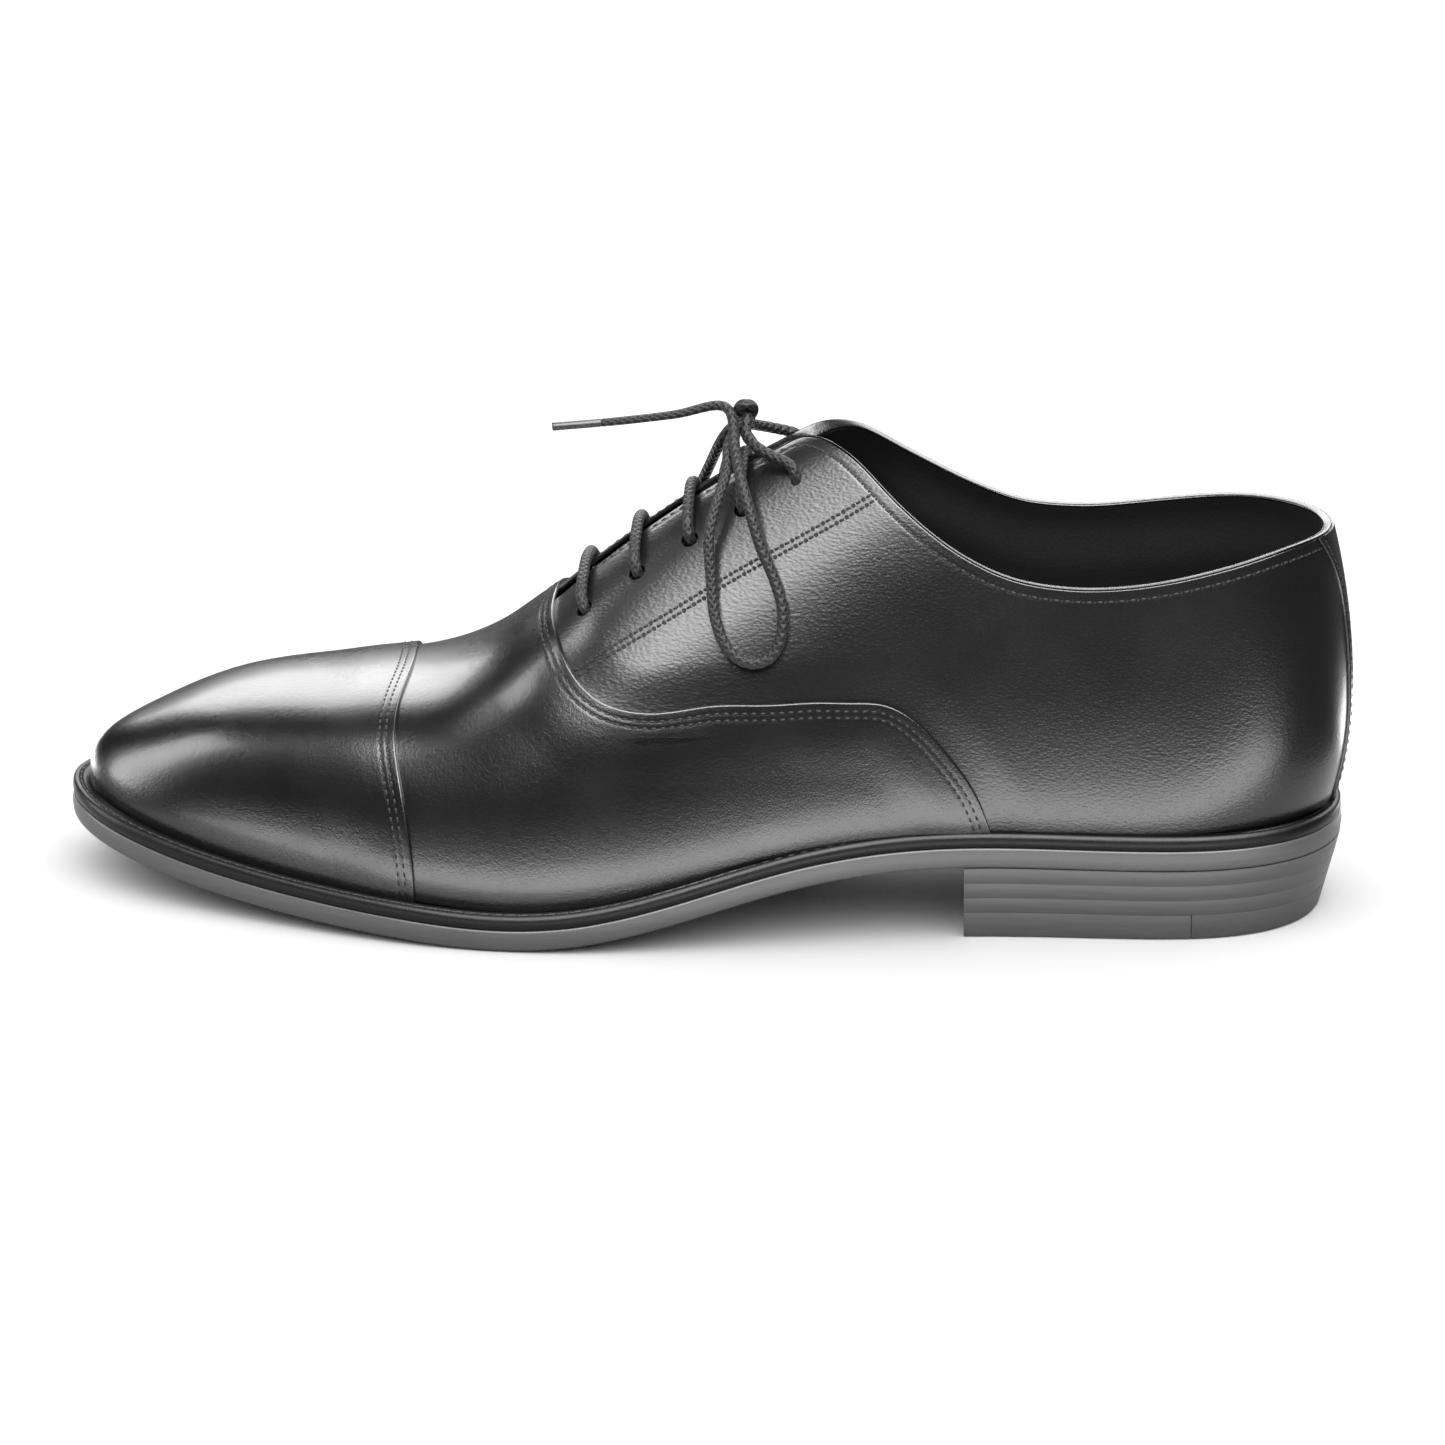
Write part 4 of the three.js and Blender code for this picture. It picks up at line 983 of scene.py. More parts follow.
class SHOE_OT_heel(bpy.types.Operator):
    """Stacked leather heel: three lifts, the top piece and its rubber tip"""

    bl_idname = "shoe.heel"
    bl_label = "Stacked heel"

    def execute(self, context):
        step = (HEEL_RISE - TOP_PIECE_T) / 3
        for i in range(3):
            high = HEEL_RISE - step * i
            low = high - step + LIFT_GAP
            name, node = f"heel_lift_leather_{i + 1}", f"heel_lift_{i + 1}"
            heel_layer(name, low, high, node, "sole_leather", seat=i == 0, bevel=0.035)
        cut = RUBBER_FROM - CUT_GAP
        heel_layer("top_piece_leather", 0.0, TOP_PIECE_T, "top_piece", "sole_leather", cut)
        cut = RUBBER_FROM + CUT_GAP
        heel_layer("rubber_tip", 0.0, TOP_PIECE_T, "rubber_heel_tip", "rubber", cut, True)
        return {"FINISHED"}


# ---- upper ----
class SHOE_OT_toe_cap(bpy.types.Operator):
    """Toe cap with its cut rear edge and a double row of stitches"""

    bl_idname = "shoe.toe_cap"
    bl_label = "Toe cap"

    def execute(self, context):
        cols = 181
        phi = np.linspace(0, np.pi, cols)
        edge = (cap_turn(phi), phi)
        tip = (np.zeros(cols), phi)
        t, p, away = edged_rows(edge, tip, 70, 1)
        flat = 70
        for i in range(flat):
            share = 1 - (1 - i / flat) ** 1.25
            t[i] = t[flat] * share
            p[i] = mix(phi, p[flat], i / flat)
        near = (station_at(cap_turn(p)) - station_at(t) - 8) / 14
        level = CAP_LEVEL * (1 - ease(near))
        outer = last_offset(t, p, level - edge_drop(away, rows=seam_rows()))
        inner = last_offset(t, p, level - size("leather"))
        obj = closed_sheet("toe_cap_leather", outer, inner, "last left right")
        finish_piece(obj, "smooth_leather", ["toe_cap"])
        runs = []
        for row in seam_rows():
            tr, pr = shifted(*edge, row)
            keep = (pr > np.radians(3)) & (pr < np.radians(177))
            seam = on_last(tr[keep], pr[keep], CAP_LEVEL - SEAM_SINK)
            runs.append((*seam, size("seam_pitch"), size("thread")))
        stitch_mesh("toe_cap_stitching", runs, "smooth_leather")
        return {"FINISHED"}


class SHOE_OT_vamp(bpy.types.Operator):
    """Vamp from under the toe cap to its curved rear edge, with a double row of stitches"""

    bl_idname = "shoe.vamp"
    bl_label = "Vamp"

    def execute(self, context):
        cols = 341
        edge = whole_wing(cols)
        v = np.linspace(0, 1, cols)
        front = (upper_turn(station_at(cap_turn(np.pi * v)) - 8), np.pi * v)
        t, p, away = edged_rows(edge, front, 90, 1)
        from_cap = (station_at(t) - station_at(cap_turn(p)) - 0.4) / 24
        points = last_point(t, p)
        to_wing = np.where(p > np.pi / 2, wing_away[MEDIAL](points), wing_away[LATERAL](points))
        level = mix(UNDER_LEVEL, 0, ease(from_cap)) + CAP_LEVEL * (1 - ease((to_wing - 7) / 12))
        outer = last_offset(t, p, level - edge_drop(away, rows=seam_rows()))
        inner = last_offset(t, p, level - size("leather"))
        obj = closed_sheet("vamp_leather", outer, inner)
        finish_piece(obj, "smooth_leather", ["vamp"])
        runs = []
        for row in seam_rows():
            tr, pr = shifted(*edge, row)
            keep = (pr > np.radians(1.5)) & (pr < np.radians(178.5))
            seam = on_last(tr[keep], pr[keep], CAP_LEVEL - SEAM_SINK)
            runs.append((*seam, size("seam_pitch"), size("thread")))
        stitch_mesh("vamp_stitching", runs, "smooth_leather")
        return {"FINISHED"}


def upper_edge(side, count, start=111.5, stop=303.5):
    t = np.linspace(float(upper_turn(start)), float(upper_turn(stop)), 1500)
    return even(t, angle(edge_angle(station_at(t), side), side), count)


EYELET_ROWS = [125.2 + 12.2 * i for i in range(5)]
EYELET_ANGLE = 67.0
PUNCH_DEPTH = 0.012


def level_here(d, deg, side):
    return float(dip(np.array([float(upper_turn(d))]), np.array([float(deg)]), side)[0])


def eyelet_spot(row, side, off):
    d = EYELET_ROWS[row]
    return at(d, EYELET_ANGLE, off + level_here(d, EYELET_ANGLE, side), side)


def punch(obj, side):
    """Round eyelet holes through a finished sheet."""
    for row in range(len(EYELET_ROWS)):
        centre = (eyelet_spot(row, side, -1.5) + ROW_SHIFT) * MM
        axis = Vector(unit(eyelet_spot(row, side, 1) - eyelet_spot(row, side, 0)))
        deselect()
        radius = size("eyelet_hole") / 2 * MM
        bpy.ops.mesh.primitive_cylinder_add(vertices=28, radius=radius, depth=PUNCH_DEPTH, location=centre)
        punch_bar = bpy.context.object
        punch_bar.rotation_euler = axis.to_track_quat("Z", "Y").to_euler()
        bpy.context.view_layer.update()
        deselect()
        obj.select_set(True)
        bpy.context.view_layer.objects.active = obj
        hole = obj.modifiers.new("hole", "BOOLEAN")
        hole.operation = "DIFFERENCE"
        hole.object = punch_bar
        hole.solver = "EXACT"
        bpy.ops.object.modifier_apply(modifier="hole")
        bpy.data.meshes.remove(punch_bar.data)
    obj.data.polygons.foreach_set("use_smooth", [True] * len(obj.data.polygons))
    obj.data.set_sharp_from_angle(angle=math.radians(40))


FACING_LINE = [
    (119.6, 47.0), (125.2, 47.8), (141, 48.9), (153.3, 50.0), (162.7, 50.9), (171.2, 51.4), (180.5, 52.2),
    (188.2, 53.2), (193.3, 54.1),
]  # fmt: skip


class SHOE_OT_quarters(bpy.types.Operator):
    """Both quarters with eyelet holes, a rounded free edge, and their facing and topline stitches"""

    bl_idname = "shoe.quarters"
    bl_label = "Quarters"

    def execute(self, context):
        cols = 300
        for side, word in SIDES:
            edge = upper_edge(side, cols)
            t_low, p_low = smooth_pairs(QUARTER_LOW, cols, side, rounded=False)
            t, p, away = edged_rows(edge, (t_low, p_low), 70, -side)
            t = np.minimum(t, BACK_SEAM)
            deg = np.degrees(np.where(side > 0, p, np.pi - p))
            level = dip(t, deg, side)
            outer = last_offset(t, p, level - edge_drop(away, 0.35, (size("topline_row"),), 0.06))
            inner = last_offset(t, p, level - size("leather"))
            obj = closed_sheet(f"quarter_leather_{word}", outer, inner)
            punch(obj, side)
            finish_piece(obj, "grain_leather", [f"quarter_{word}"])
            runs = []
            for gap in (0.0, size("row_gap")):
                tr, pr = shifted(*smooth_pairs(FACING_LINE, 200, side), gap * side)
                deg = np.degrees(pr if side > 0 else np.pi - pr)
                level = dip(tr, deg, side) + 0.02
                runs.append((*on_last(tr, pr, level), size("facing_pitch"), size("thread") * 1.16))
            stitch_mesh(f"facing_stitching_{word}", runs, "grain_leather", "shoe", 0.9, 0.12, 0.52)
            runs = []
            rows = ((122, 171, size("facing_row")), (172.5, UPPER_TO, size("topline_row")))
            for start, stop, inset in rows:
                tr, pr = shifted(*upper_edge(side, 400, start, stop), -side * inset)
                keep = tr < np.pi - 0.16
                deg = np.degrees(pr if side > 0 else np.pi - pr)
                line, up = on_last(tr, pr, dip(tr, deg, side) - 0.1)
                runs.append((line[keep], up[keep], size("topline_pitch"), size("thread")))
            stitch_mesh(f"topline_stitching_{word}", runs, "grain_leather", "shoe", 0.7, 0.04, 0.7)
        return {"FINISHED"}


def back_turn(y):
    t = np.linspace(float(upper_turn(270)), np.pi, 800)
    return np.interp(y, upper_half(station_at(t))[::-1], t[::-1])


STRIP_HALF = Spline([(0, 4.6), (0.6, 5), (0.8, 6.6), (0.9, 9.2), (1, 13)])


class SHOE_OT_back_strip(bpy.types.Operator):
    """Strip over the back seam that widens to the topline, stitched along both edges"""

    bl_idname = "shoe.back_strip"
    bl_label = "Back strip"

    def execute(self, context):
        rows, cols = 64, 61
        v = np.linspace(0, 1, rows)[:, None]
        u = np.linspace(-1, 1, cols)[None, :]
        u = np.sign(u) * (1 - (1 - np.abs(u)) ** 1.5)
        half = STRIP_HALF(v)
        y = u * half
        t = back_turn(np.abs(y))
        d = station_at(t)
        deg_low = angle_of(d, feather_z(d) + WELT_T - 1)
        deg_top = np.where(y > 0, edge_angle(d, MEDIAL), edge_angle(d, LATERAL))
        deg = mix(deg_low, deg_top, v)
        phi = np.where(y > 0, np.pi - np.radians(deg), np.radians(deg))
        away = (1 - np.abs(u)) * half
        groove = 0.14 * np.exp(-(((away - size("facing_row")) / 0.5) ** 2))
        level = 0.75 - edge_drop(away, 0.45) - groove
        outer = last_offset(t, phi, np.broadcast_to(level, t.shape))
        inner = last_offset(t, phi, np.full(t.shape, 0.05))
        obj = closed_sheet("back_strip_leather", outer, inner)
        finish_piece(obj, "smooth_leather", ["back_strip"], "shoe")
        runs = []
        share = np.linspace(0, 0.985, 160)
        for sign in (-1, 1):
            ys = sign * (STRIP_HALF(share) - size("facing_row"))
            ts = back_turn(np.abs(ys))
            ds = station_at(ts)
            side = MEDIAL if sign > 0 else LATERAL
            degs = mix(angle_of(ds, feather_z(ds) + WELT_T - 1), edge_angle(ds, side), share)
            runs.append((*on_last(ts, angle(degs, side), 0.62), size("seam_pitch") * 1.07, size("thread")))
        stitch_mesh("back_strip_stitching", runs, "smooth_leather", "shoe")
        return {"FINISHED"}


class SHOE_OT_binding(bpy.types.Operator):
    """Rolled binding over the free edge, from the front corner of one facing round the back to the other"""

    bl_idname = "shoe.binding"
    bl_label = "Topline binding"

    def execute(self, context):
        count = 560
        start = float(upper_turn(150))
        t, hand = folded(np.linspace(start, 2 * np.pi - start, count))
        far = hand > 0
        d = station_at(t)
        deg = np.where(far, edge_angle(d, MEDIAL), edge_angle(d, LATERAL))
        phi = np.where(far, np.pi - np.radians(deg), np.radians(deg))
        above = np.where(far, np.pi - np.radians(deg + 0.6), np.radians(deg + 0.6))
        deep = mix(RIM_IN, THIN_RIM_IN, ease((d - 172) / 16))
        ends = ease((d - 150) / 18)
        a = np.linspace(0, 2 * np.pi, 18, endpoint=False)
        rings = []
        for w in a:
            flat = np.sign(math.cos(w)) * abs(math.cos(w)) ** 0.6
            off = mix(deep - 0.12, 0.14, (flat + 1) / 2)
            lift = mix(0.05, 0.5 * ends + 0.12, (math.sin(w) + 1) / 2) - 0.35 * (1 - ends)
            root = last_offset(t, phi, off)
            up = unit(last_offset(t, above, off) - root)
            rings.append(root + up * lift[:, None])
        points = np.stack(rings, 1).reshape(-1, 3)
        n = len(a)
        faces = grid_faces(count, n, closed=True)
        faces += [tuple(range(n)), tuple((count - 1) * n + k for k in reversed(range(n)))]
        obj = new_object("topline_binding_leather", points, faces, 60)
        finish_piece(obj, "smooth_leather", ["topline_binding"], "shoe")
        return {"FINISHED"}


def lining_join(deg):
    return 117.5 + 34 * (1 - ease(deg / 58))


class SHOE_OT_linings(bpy.types.Operator):
    """Linings of the quarters and the vamp, and the vamp's doubler"""

    bl_idname = "shoe.linings"
    bl_label = "Linings"

    def execute(self, context):
        rows, cols = 90, 60
        for side, word in SIDES:
            u = np.linspace(0, 1, rows)[:, None]
            v = 1 - (1 - np.linspace(0, 1, cols)[None, :]) ** 1.4
            deg = 85 * np.broadcast_to(v, (rows, cols))
            t = np.zeros((rows, cols))
            for _ in range(14):
                t = mix(upper_turn(lining_join(deg) + 0.5), BACK_SEAM, u)
                deg = mix(1, edge_angle(station_at(t), side), v)
            d = station_at(t)
            edge = edge_angle(d, side)
            away = np.linalg.norm(last_point(t, np.radians(deg)) - last_point(t, np.radians(edge)), axis=-1)
            share = 1 - ease((away - mix(24, 3, ease((d - 184) / 14))) / 13)
            rim = mix(RIM_OUT, THIN_RIM_OUT, ease((d - 176) / 12))
            out = mix(LINING_OUT, rim + np.minimum(dip(t, deg, side), 0) * 0.8, share)
            phi = angle(deg, side)
            outer, inner = last_offset(t, phi, out), last_offset(t, phi, out - size("lining"))
            obj = closed_sheet(f"quarter_lining_leather_{word}", outer, inner)
            punch(obj, side)
            finish_piece(obj, "lining", [f"quarter_lining_{word}"])
        v = np.linspace(0, 1, 101)[None, :]
        u = np.linspace(0, 1, 60)[:, None]
        deg = np.minimum(180 * v, 180 - 180 * v)
        t = upper_turn(lining_join(deg) - 0.5) * (1 - (1 - u) ** 1.2)
        phi = np.broadcast_to(np.pi * v, t.shape)
        outer, inner = (last_offset(t, phi, np.full(t.shape, x)) for x in (LINING_OUT, LINING_IN))
        obj = closed_sheet("vamp_lining_leather", outer, inner, "last left right")
        finish_piece(obj, "lining", ["vamp_lining"])
        u, v = np.linspace(0, 1, 24)[:, None], np.linspace(0, 1, 50)[None, :]
        t = np.broadcast_to(mix(float(upper_turn(90)), float(upper_turn(113)), u), (24, 50))
        phi = np.broadcast_to(np.radians(mix(32, 148, v)), (24, 50))
        outer, inner = (last_offset(t, phi, np.full(t.shape, x)) for x in (STIFF_OUT, STIFF_IN))
        obj = closed_sheet("vamp_doubler_board", outer, inner)
        finish_piece(obj, "stiffener", ["vamp_doubler"])
        return {"FINISHED"}


def tongue_sheet(name, depth, thick, start, stop, spread, slot, node):
    rows, cols = 80, 50
    u = np.linspace(0, 1, rows)[:, None]
    v = np.linspace(0, 1, cols)[None, :]
    d = mix(start, stop, u)
    tip = np.where(u > 0.85, np.sqrt(np.maximum(1 - ((u - 0.85) / 0.158) ** 2, 0.002)), 1)
    half = mix(24, spread, ease(u * 2.2)) * tip
    phi = np.radians(90 + (2 * v - 1) * half)
    sink = mix(LINING_IN - 0.7, run_at() - size("lace") / 2 - 0.6, ease((d - 118) / 5)) + depth
    t = np.broadcast_to(upper_turn(d), phi.shape)
    drop = edge_drop(np.minimum((1 - np.abs(2 * v - 1)) * half * 0.8, (1 - u) * 58), 0.5)
    outer = last_offset(t, phi, sink - drop)
    inner = last_offset(t, phi, np.broadcast_to(sink - thick, t.shape))
    obj = closed_sheet(name, outer, inner)
    return finish_piece(obj, slot, [node], "tongue_flap")


class SHOE_OT_tongue(bpy.types.Operator):
    """Tongue and its lining under the lacing"""

    bl_idname = "shoe.tongue"
    bl_label = "Tongue"

    def execute(self, context):
        tongue_sheet("tongue_leather", 0, 1.2, 118.5, 177, 36, "smooth_leather", "tongue")
        tongue_sheet("tongue_lining_leather", -1.6, 0.8, 119.5, 176, 34, "lining", "tongue_lining")
        return {"FINISHED"}


# ---- lace ----
KNOT = np.array([161.5, -3.0, 118.0])
BOW_LOOP = [
    (162.2, 84, 8.2), (160.4, 75, 6.2), (157.6, 67, 5.6), (155.8, 61, 4.8), (155.8, 53, 2.8),
    (156.8, 44.5, 2.1), (159.5, 38.3, 2.1), (162.8, 35, 2.1), (166.5, 33.3, 2.1), (170, 33.4, 2.1),
    (172.2, 36, 2.1), (172.4, 40.5, 2.1), (170.4, 46.5, 2.1), (167.2, 54, 3.2), (165.2, 62, 5),
    (163.6, 71, 6.4), (163, 79, 7.6),
]  # fmt: skip
BOW_END = [(159.5, 84, 7), (154, 74, 4.2), (149, 63, 2.8), (145, 52, 2.3), (142.2, 42, 2.2)]
AGLET_END = (140.6, 26, 2.4)
FREE_END = [(157, -3.3, 118.3), (145, -4.2, 116.4), (133.5, -5.2, 115), (128, -5.8, 114.5)]
FREE_TIP = np.array([116.5, -7.0, 113.6])


def pass_in(row, side, toward, on):
    """Points from outside to inside through one eyelet."""
    d = EYELET_ROWS[row]
    low = level_here(d, EYELET_ANGLE, side)
    on_top = size("lace") / 2
    return [
        at(d, EYELET_ANGLE + toward * 7, on_top + 0.55, side),
        at(d, EYELET_ANGLE + toward * 3.2, on_top + 0.2, side),
        eyelet_spot(row, side, -0.3),
        eyelet_spot(row, side, RIM_IN - 0.2),
        at(d + on[0] * 1.9, EYELET_ANGLE + on[1] * 2.6, run_at() + low, side),
        at(d + on[0] * 3.6, EYELET_ANGLE + on[1] * 5, run_at() + low / 2, side),
    ]


def lace_points():
    def over(row):
        return [at(EYELET_ROWS[row], deg, size("lace") / 2 + 0.5) for deg in (78, 90, 102)]

    held = [at(165.2, 84, 7), at(168.4, 77, 4.6)]
    held += pass_in(4, LATERAL, 1, (-0.4, -1))[1:]
    held += [at(d, deg, run_at()) for d, deg in ((164, 56.5), (150, 55), (136, 56))]
    held += pass_in(0, LATERAL, 1, (0.5, -1))[::-1] + over(0) + pass_in(0, MEDIAL, 1, (1, 0))
    held += pass_in(1, MEDIAL, 1, (-1, 0))[::-1] + over(1)[::-1] + pass_in(1, LATERAL, 1, (1, 0))
    held += pass_in(2, LATERAL, 1, (-1, 0))[::-1] + over(2) + pass_in(2, MEDIAL, 1, (1, 0))
    held += pass_in(3, MEDIAL, 1, (-1, 0))[::-1] + over(3)[::-1] + pass_in(3, LATERAL, 1, (0.6, 0.8))
    held += [at(167, 82, run_at()), at(169, 97, run_at())]
    held += pass_in(4, MEDIAL, 1, (-0.4, 0.9))[::-1][:-1]
    held += [at(168.4, 77, 4.6, MEDIAL), at(165.2, 84, 7, MEDIAL)]
    start = [at(*place, MEDIAL) for place in BOW_END[::-1]]
    loops = {side: [at(*place, side) for place in BOW_LOOP] for side in (LATERAL, MEDIAL)}
    wrap = []
    for i in range(9):
        a = 0.35 + i * 0.7
        wrap.append(KNOT + [2.0 * math.cos(a), (i - 4) * 0.35 + 0.9 * math.cos(a), 1.4 * math.sin(a)])
    free = [np.array(p, float) for p in FREE_END]
    return start + loops[MEDIAL] + [KNOT + [0.5, 0.3, -1.2]] + held + wrap + loops[LATERAL] + free


def resampled(line, step):
    run = lengths(line)
    want = np.linspace(0, run[-1], int(run[-1] / step))
    return np.stack([np.interp(want, run, line[:, k]) for k in range(3)], 1)


def centripetal(points, step):
    """Evenly spaced points of a centripetal Catmull-Rom curve."""
    p = [np.asarray(points[0], float)]
    for q in points[1:]:
        if np.linalg.norm(q - p[-1]) > 0.05:
            p.append(np.asarray(q, float))
    p = [2 * p[0] - p[1]] + p + [2 * p[-1] - p[-2]]
    dense = []
    for i in range(1, len(p) - 2):
        a, b, c, d = p[i - 1 : i + 3]
        t1 = np.linalg.norm(b - a) ** 0.5
        t2 = t1 + np.linalg.norm(c - b) ** 0.5
        t3 = t2 + np.linalg.norm(d - c) ** 0.5
        t = np.linspace(t1, t2, 24, endpoint=False)[:, None]
        e = (t1 - t) / t1 * a + t / t1 * b
        f = (t2 - t) / (t2 - t1) * b + (t - t1) / (t2 - t1) * c
        g = (t3 - t) / (t3 - t2) * c + (t - t2) / (t3 - t2) * d
        h = (t2 - t) / t2 * e + t / t2 * f
        k = (t3 - t) / (t3 - t1) * f + (t - t1) / (t3 - t1) * g
        dense.append((t2 - t) / (t2 - t1) * h + (t - t1) / (t2 - t1) * k)
    line = resampled(np.concatenate(dense + [p[-2][None]]), step)
    for _ in range(24):
        line[1:-1] = line[1:-1] * 0.5 + (line[:-2] + line[2:]) * 0.25
    return resampled(line, step)


def braided_tube(name, line, radius, sides=24, plait=2.0):
    """A tube with crossing strands in relief; its UV turns round it and counts plaits along it."""
    along = unit(np.gradient(line, axis=0))
    run = lengths(line)
    side = np.zeros_like(line)
    now = unit(np.cross(along[0], [0.3, 0.5, 0.8]))
    for i, a in enumerate(along):
        now = unit(now - a * np.dot(now, a))
        side[i] = now
    up = np.cross(along, side)
    w = np.arange(sides) / sides
    u, v = w[None, :], (run / plait)[:, None]
    relief = np.maximum(np.sin(math.tau * (5 * u + v)), np.sin(math.tau * (5 * u - v)))
    r = radius[:, None] * (1 + 0.055 * (relief - 0.6))
    turn = (math.tau * w)[None, :, None]
    ring = side[:, None] * np.cos(turn) + up[:, None] * np.sin(turn)
    points = (line[:, None] + ring * r[..., None]).reshape(-1, 3)
    n = len(line)
    faces = grid_faces(n, sides, closed=True)
    faces += [tuple(range(sides)), tuple((n - 1) * sides + k for k in reversed(range(sides)))]
    obj = new_object(name, points, faces, 80, weld=0)
    mesh = obj.data
    layer = mesh.uv_layers.new(name="along")
    loops = np.zeros(len(mesh.loops), np.int32)
    mesh.loops.foreach_get("vertex_index", loops)
    rows, cols = loops // sides, loops % sides
    sizes = np.zeros(len(mesh.polygons), np.int32)
    mesh.polygons.foreach_get("loop_total", sizes)
    first = np.repeat(np.arange(len(sizes)), sizes)
    around = cols / sides
    highest = np.zeros(len(sizes))
    np.maximum.at(highest, first, around)
    around = np.where((around == 0) & (highest[first] > 0.9), 1.0, around)
    uv = np.column_stack([around, run[rows] / plait]).astype(np.float32)
    layer.data.foreach_set("uv", uv.ravel())
    return obj


class SHOE_OT_lace(bpy.types.Operator):
    """One round braided lace through five pairs of eyelets, tied in a bow, with an aglet on each end"""

    bl_idname = "shoe.lace"
    bl_label = "Lace"

    def execute(self, context):
        line = centripetal(lace_points(), 0.32)
        run = lengths(line)
        thin = 1 - 0.26 * ease((run - run[-1] + 40) / 30)
        lace = braided_tube("braided_lace_cord", line, size("lace") / 2 * thin, plait=size("plait"))
        held = ["lace_through_eyelets", "lace_knot", "lace_loop_lateral", "lace_loop_medial"]
        finish_piece(lace, "lace_cotton", held + ["lace_end_lateral", "lace_end_medial"], "shoe")
        far_tip = at(*AGLET_END, MEDIAL)
        aglets = [
            self.aglet("aglet_sleeve_lateral", line[-1], FREE_TIP, 0.95, "aglet_lateral"),
            self.aglet("aglet_sleeve_medial", line[0], far_tip, 1.2, "aglet_medial"),
        ]
        size("lace") * MM
        return {"FINISHED"}

    def aglet(self, name, start, stop, radius, node):
        """A sleeve from a cylinder: the rims of its ends are bevelled, and it is turned along the lace's end.
        """
        deselect()
        a, b = ((np.asarray(p) + ROW_SHIFT) * MM for p in (start, stop))
        axis = Vector(b - a)
        tube = {"vertices": 24, "radius": radius * MM, "depth": axis.length}
        bpy.ops.mesh.primitive_cylinder_add(**tube, location=(0, 0, 0))
        obj = bpy.context.object
        obj.name = name
        bpy.ops.object.mode_set(mode="EDIT")
        bpy.ops.mesh.select_all(action="DESELECT")
        bm = bmesh.from_edit_mesh(obj.data)
        for f in bm.faces:
            f.select = abs(f.normal.z) > 0.9
        bm.select_flush_mode()
        bmesh.update_edit_mesh(obj.data)
        bpy.ops.mesh.bevel(offset=0.0003, segments=3, affect="EDGES")
        bpy.ops.object.mode_set(mode="OBJECT")
        spin = axis.to_track_quat("Z", "Y").to_matrix()
        middle = Vector((a + b) / 2)
        for v in obj.data.vertices:
            v.co = spin @ v.co + middle
        bpy.ops.object.shade_smooth_by_angle(angle=math.radians(40))
        return finish_piece(obj, "aglet_plastic", [node], "shoe")


class SHOE_OT_hidden_parts(bpy.types.Operator):
    """Gives the CAD parts that stay, inside and under the shoe, their own finishes"""

    bl_idname = "shoe.hidden_parts"
    bl_label = "Hidden parts"

    def execute(self, context):
        for node, obj in frame["nodes"].items():
            look = finishes[SLOT_OF_NODE[node]]
            for slot in obj.material_slots:
                slot.material = look
            if not obj.material_slots:
                obj.data.materials.append(look)
        return {"FINISHED"}


# ---- stage ----
CAMERA_AZIMUTH = 4.477
CAMERA_ELEVATION = 18.527
CAMERA_DISTANCE = 2.152
CAMERA_AIM = (-0.00235, 0.00205, 0.045)
CAMERA_LENS = 227.1
CAMERA_SHIFT = (0.0172, -0.0158)
FLOOR_SIZE = 14
FLAG_OPENING = (0.44, 0.24, 1)
FLAG_SPREAD = (20, 30, 1)
CARD_SIZE = (0.5, 0.07)
CARD_AWAY = 0.11


def soft_light(name, extent, radiance, place, aim, receivers):
    """A rectangular light of one brightness that lights only its receivers."""
    data = bpy.data.lights.new(name, "AREA")
    data.shape = "RECTANGLE"
    data.size, data.size_y = extent
    data.energy = radiance * math.pi * extent[0] * extent[1]
    obj = bpy.data.objects.new(name, data)
    obj.light_linking.receiver_collection = receivers
    bpy.context.scene.collection.objects.link(obj)
    obj.location = place
    obj.rotation_euler = (Vector(aim) - Vector(place)).to_track_quat("-Z", "Y").to_euler()
    return obj


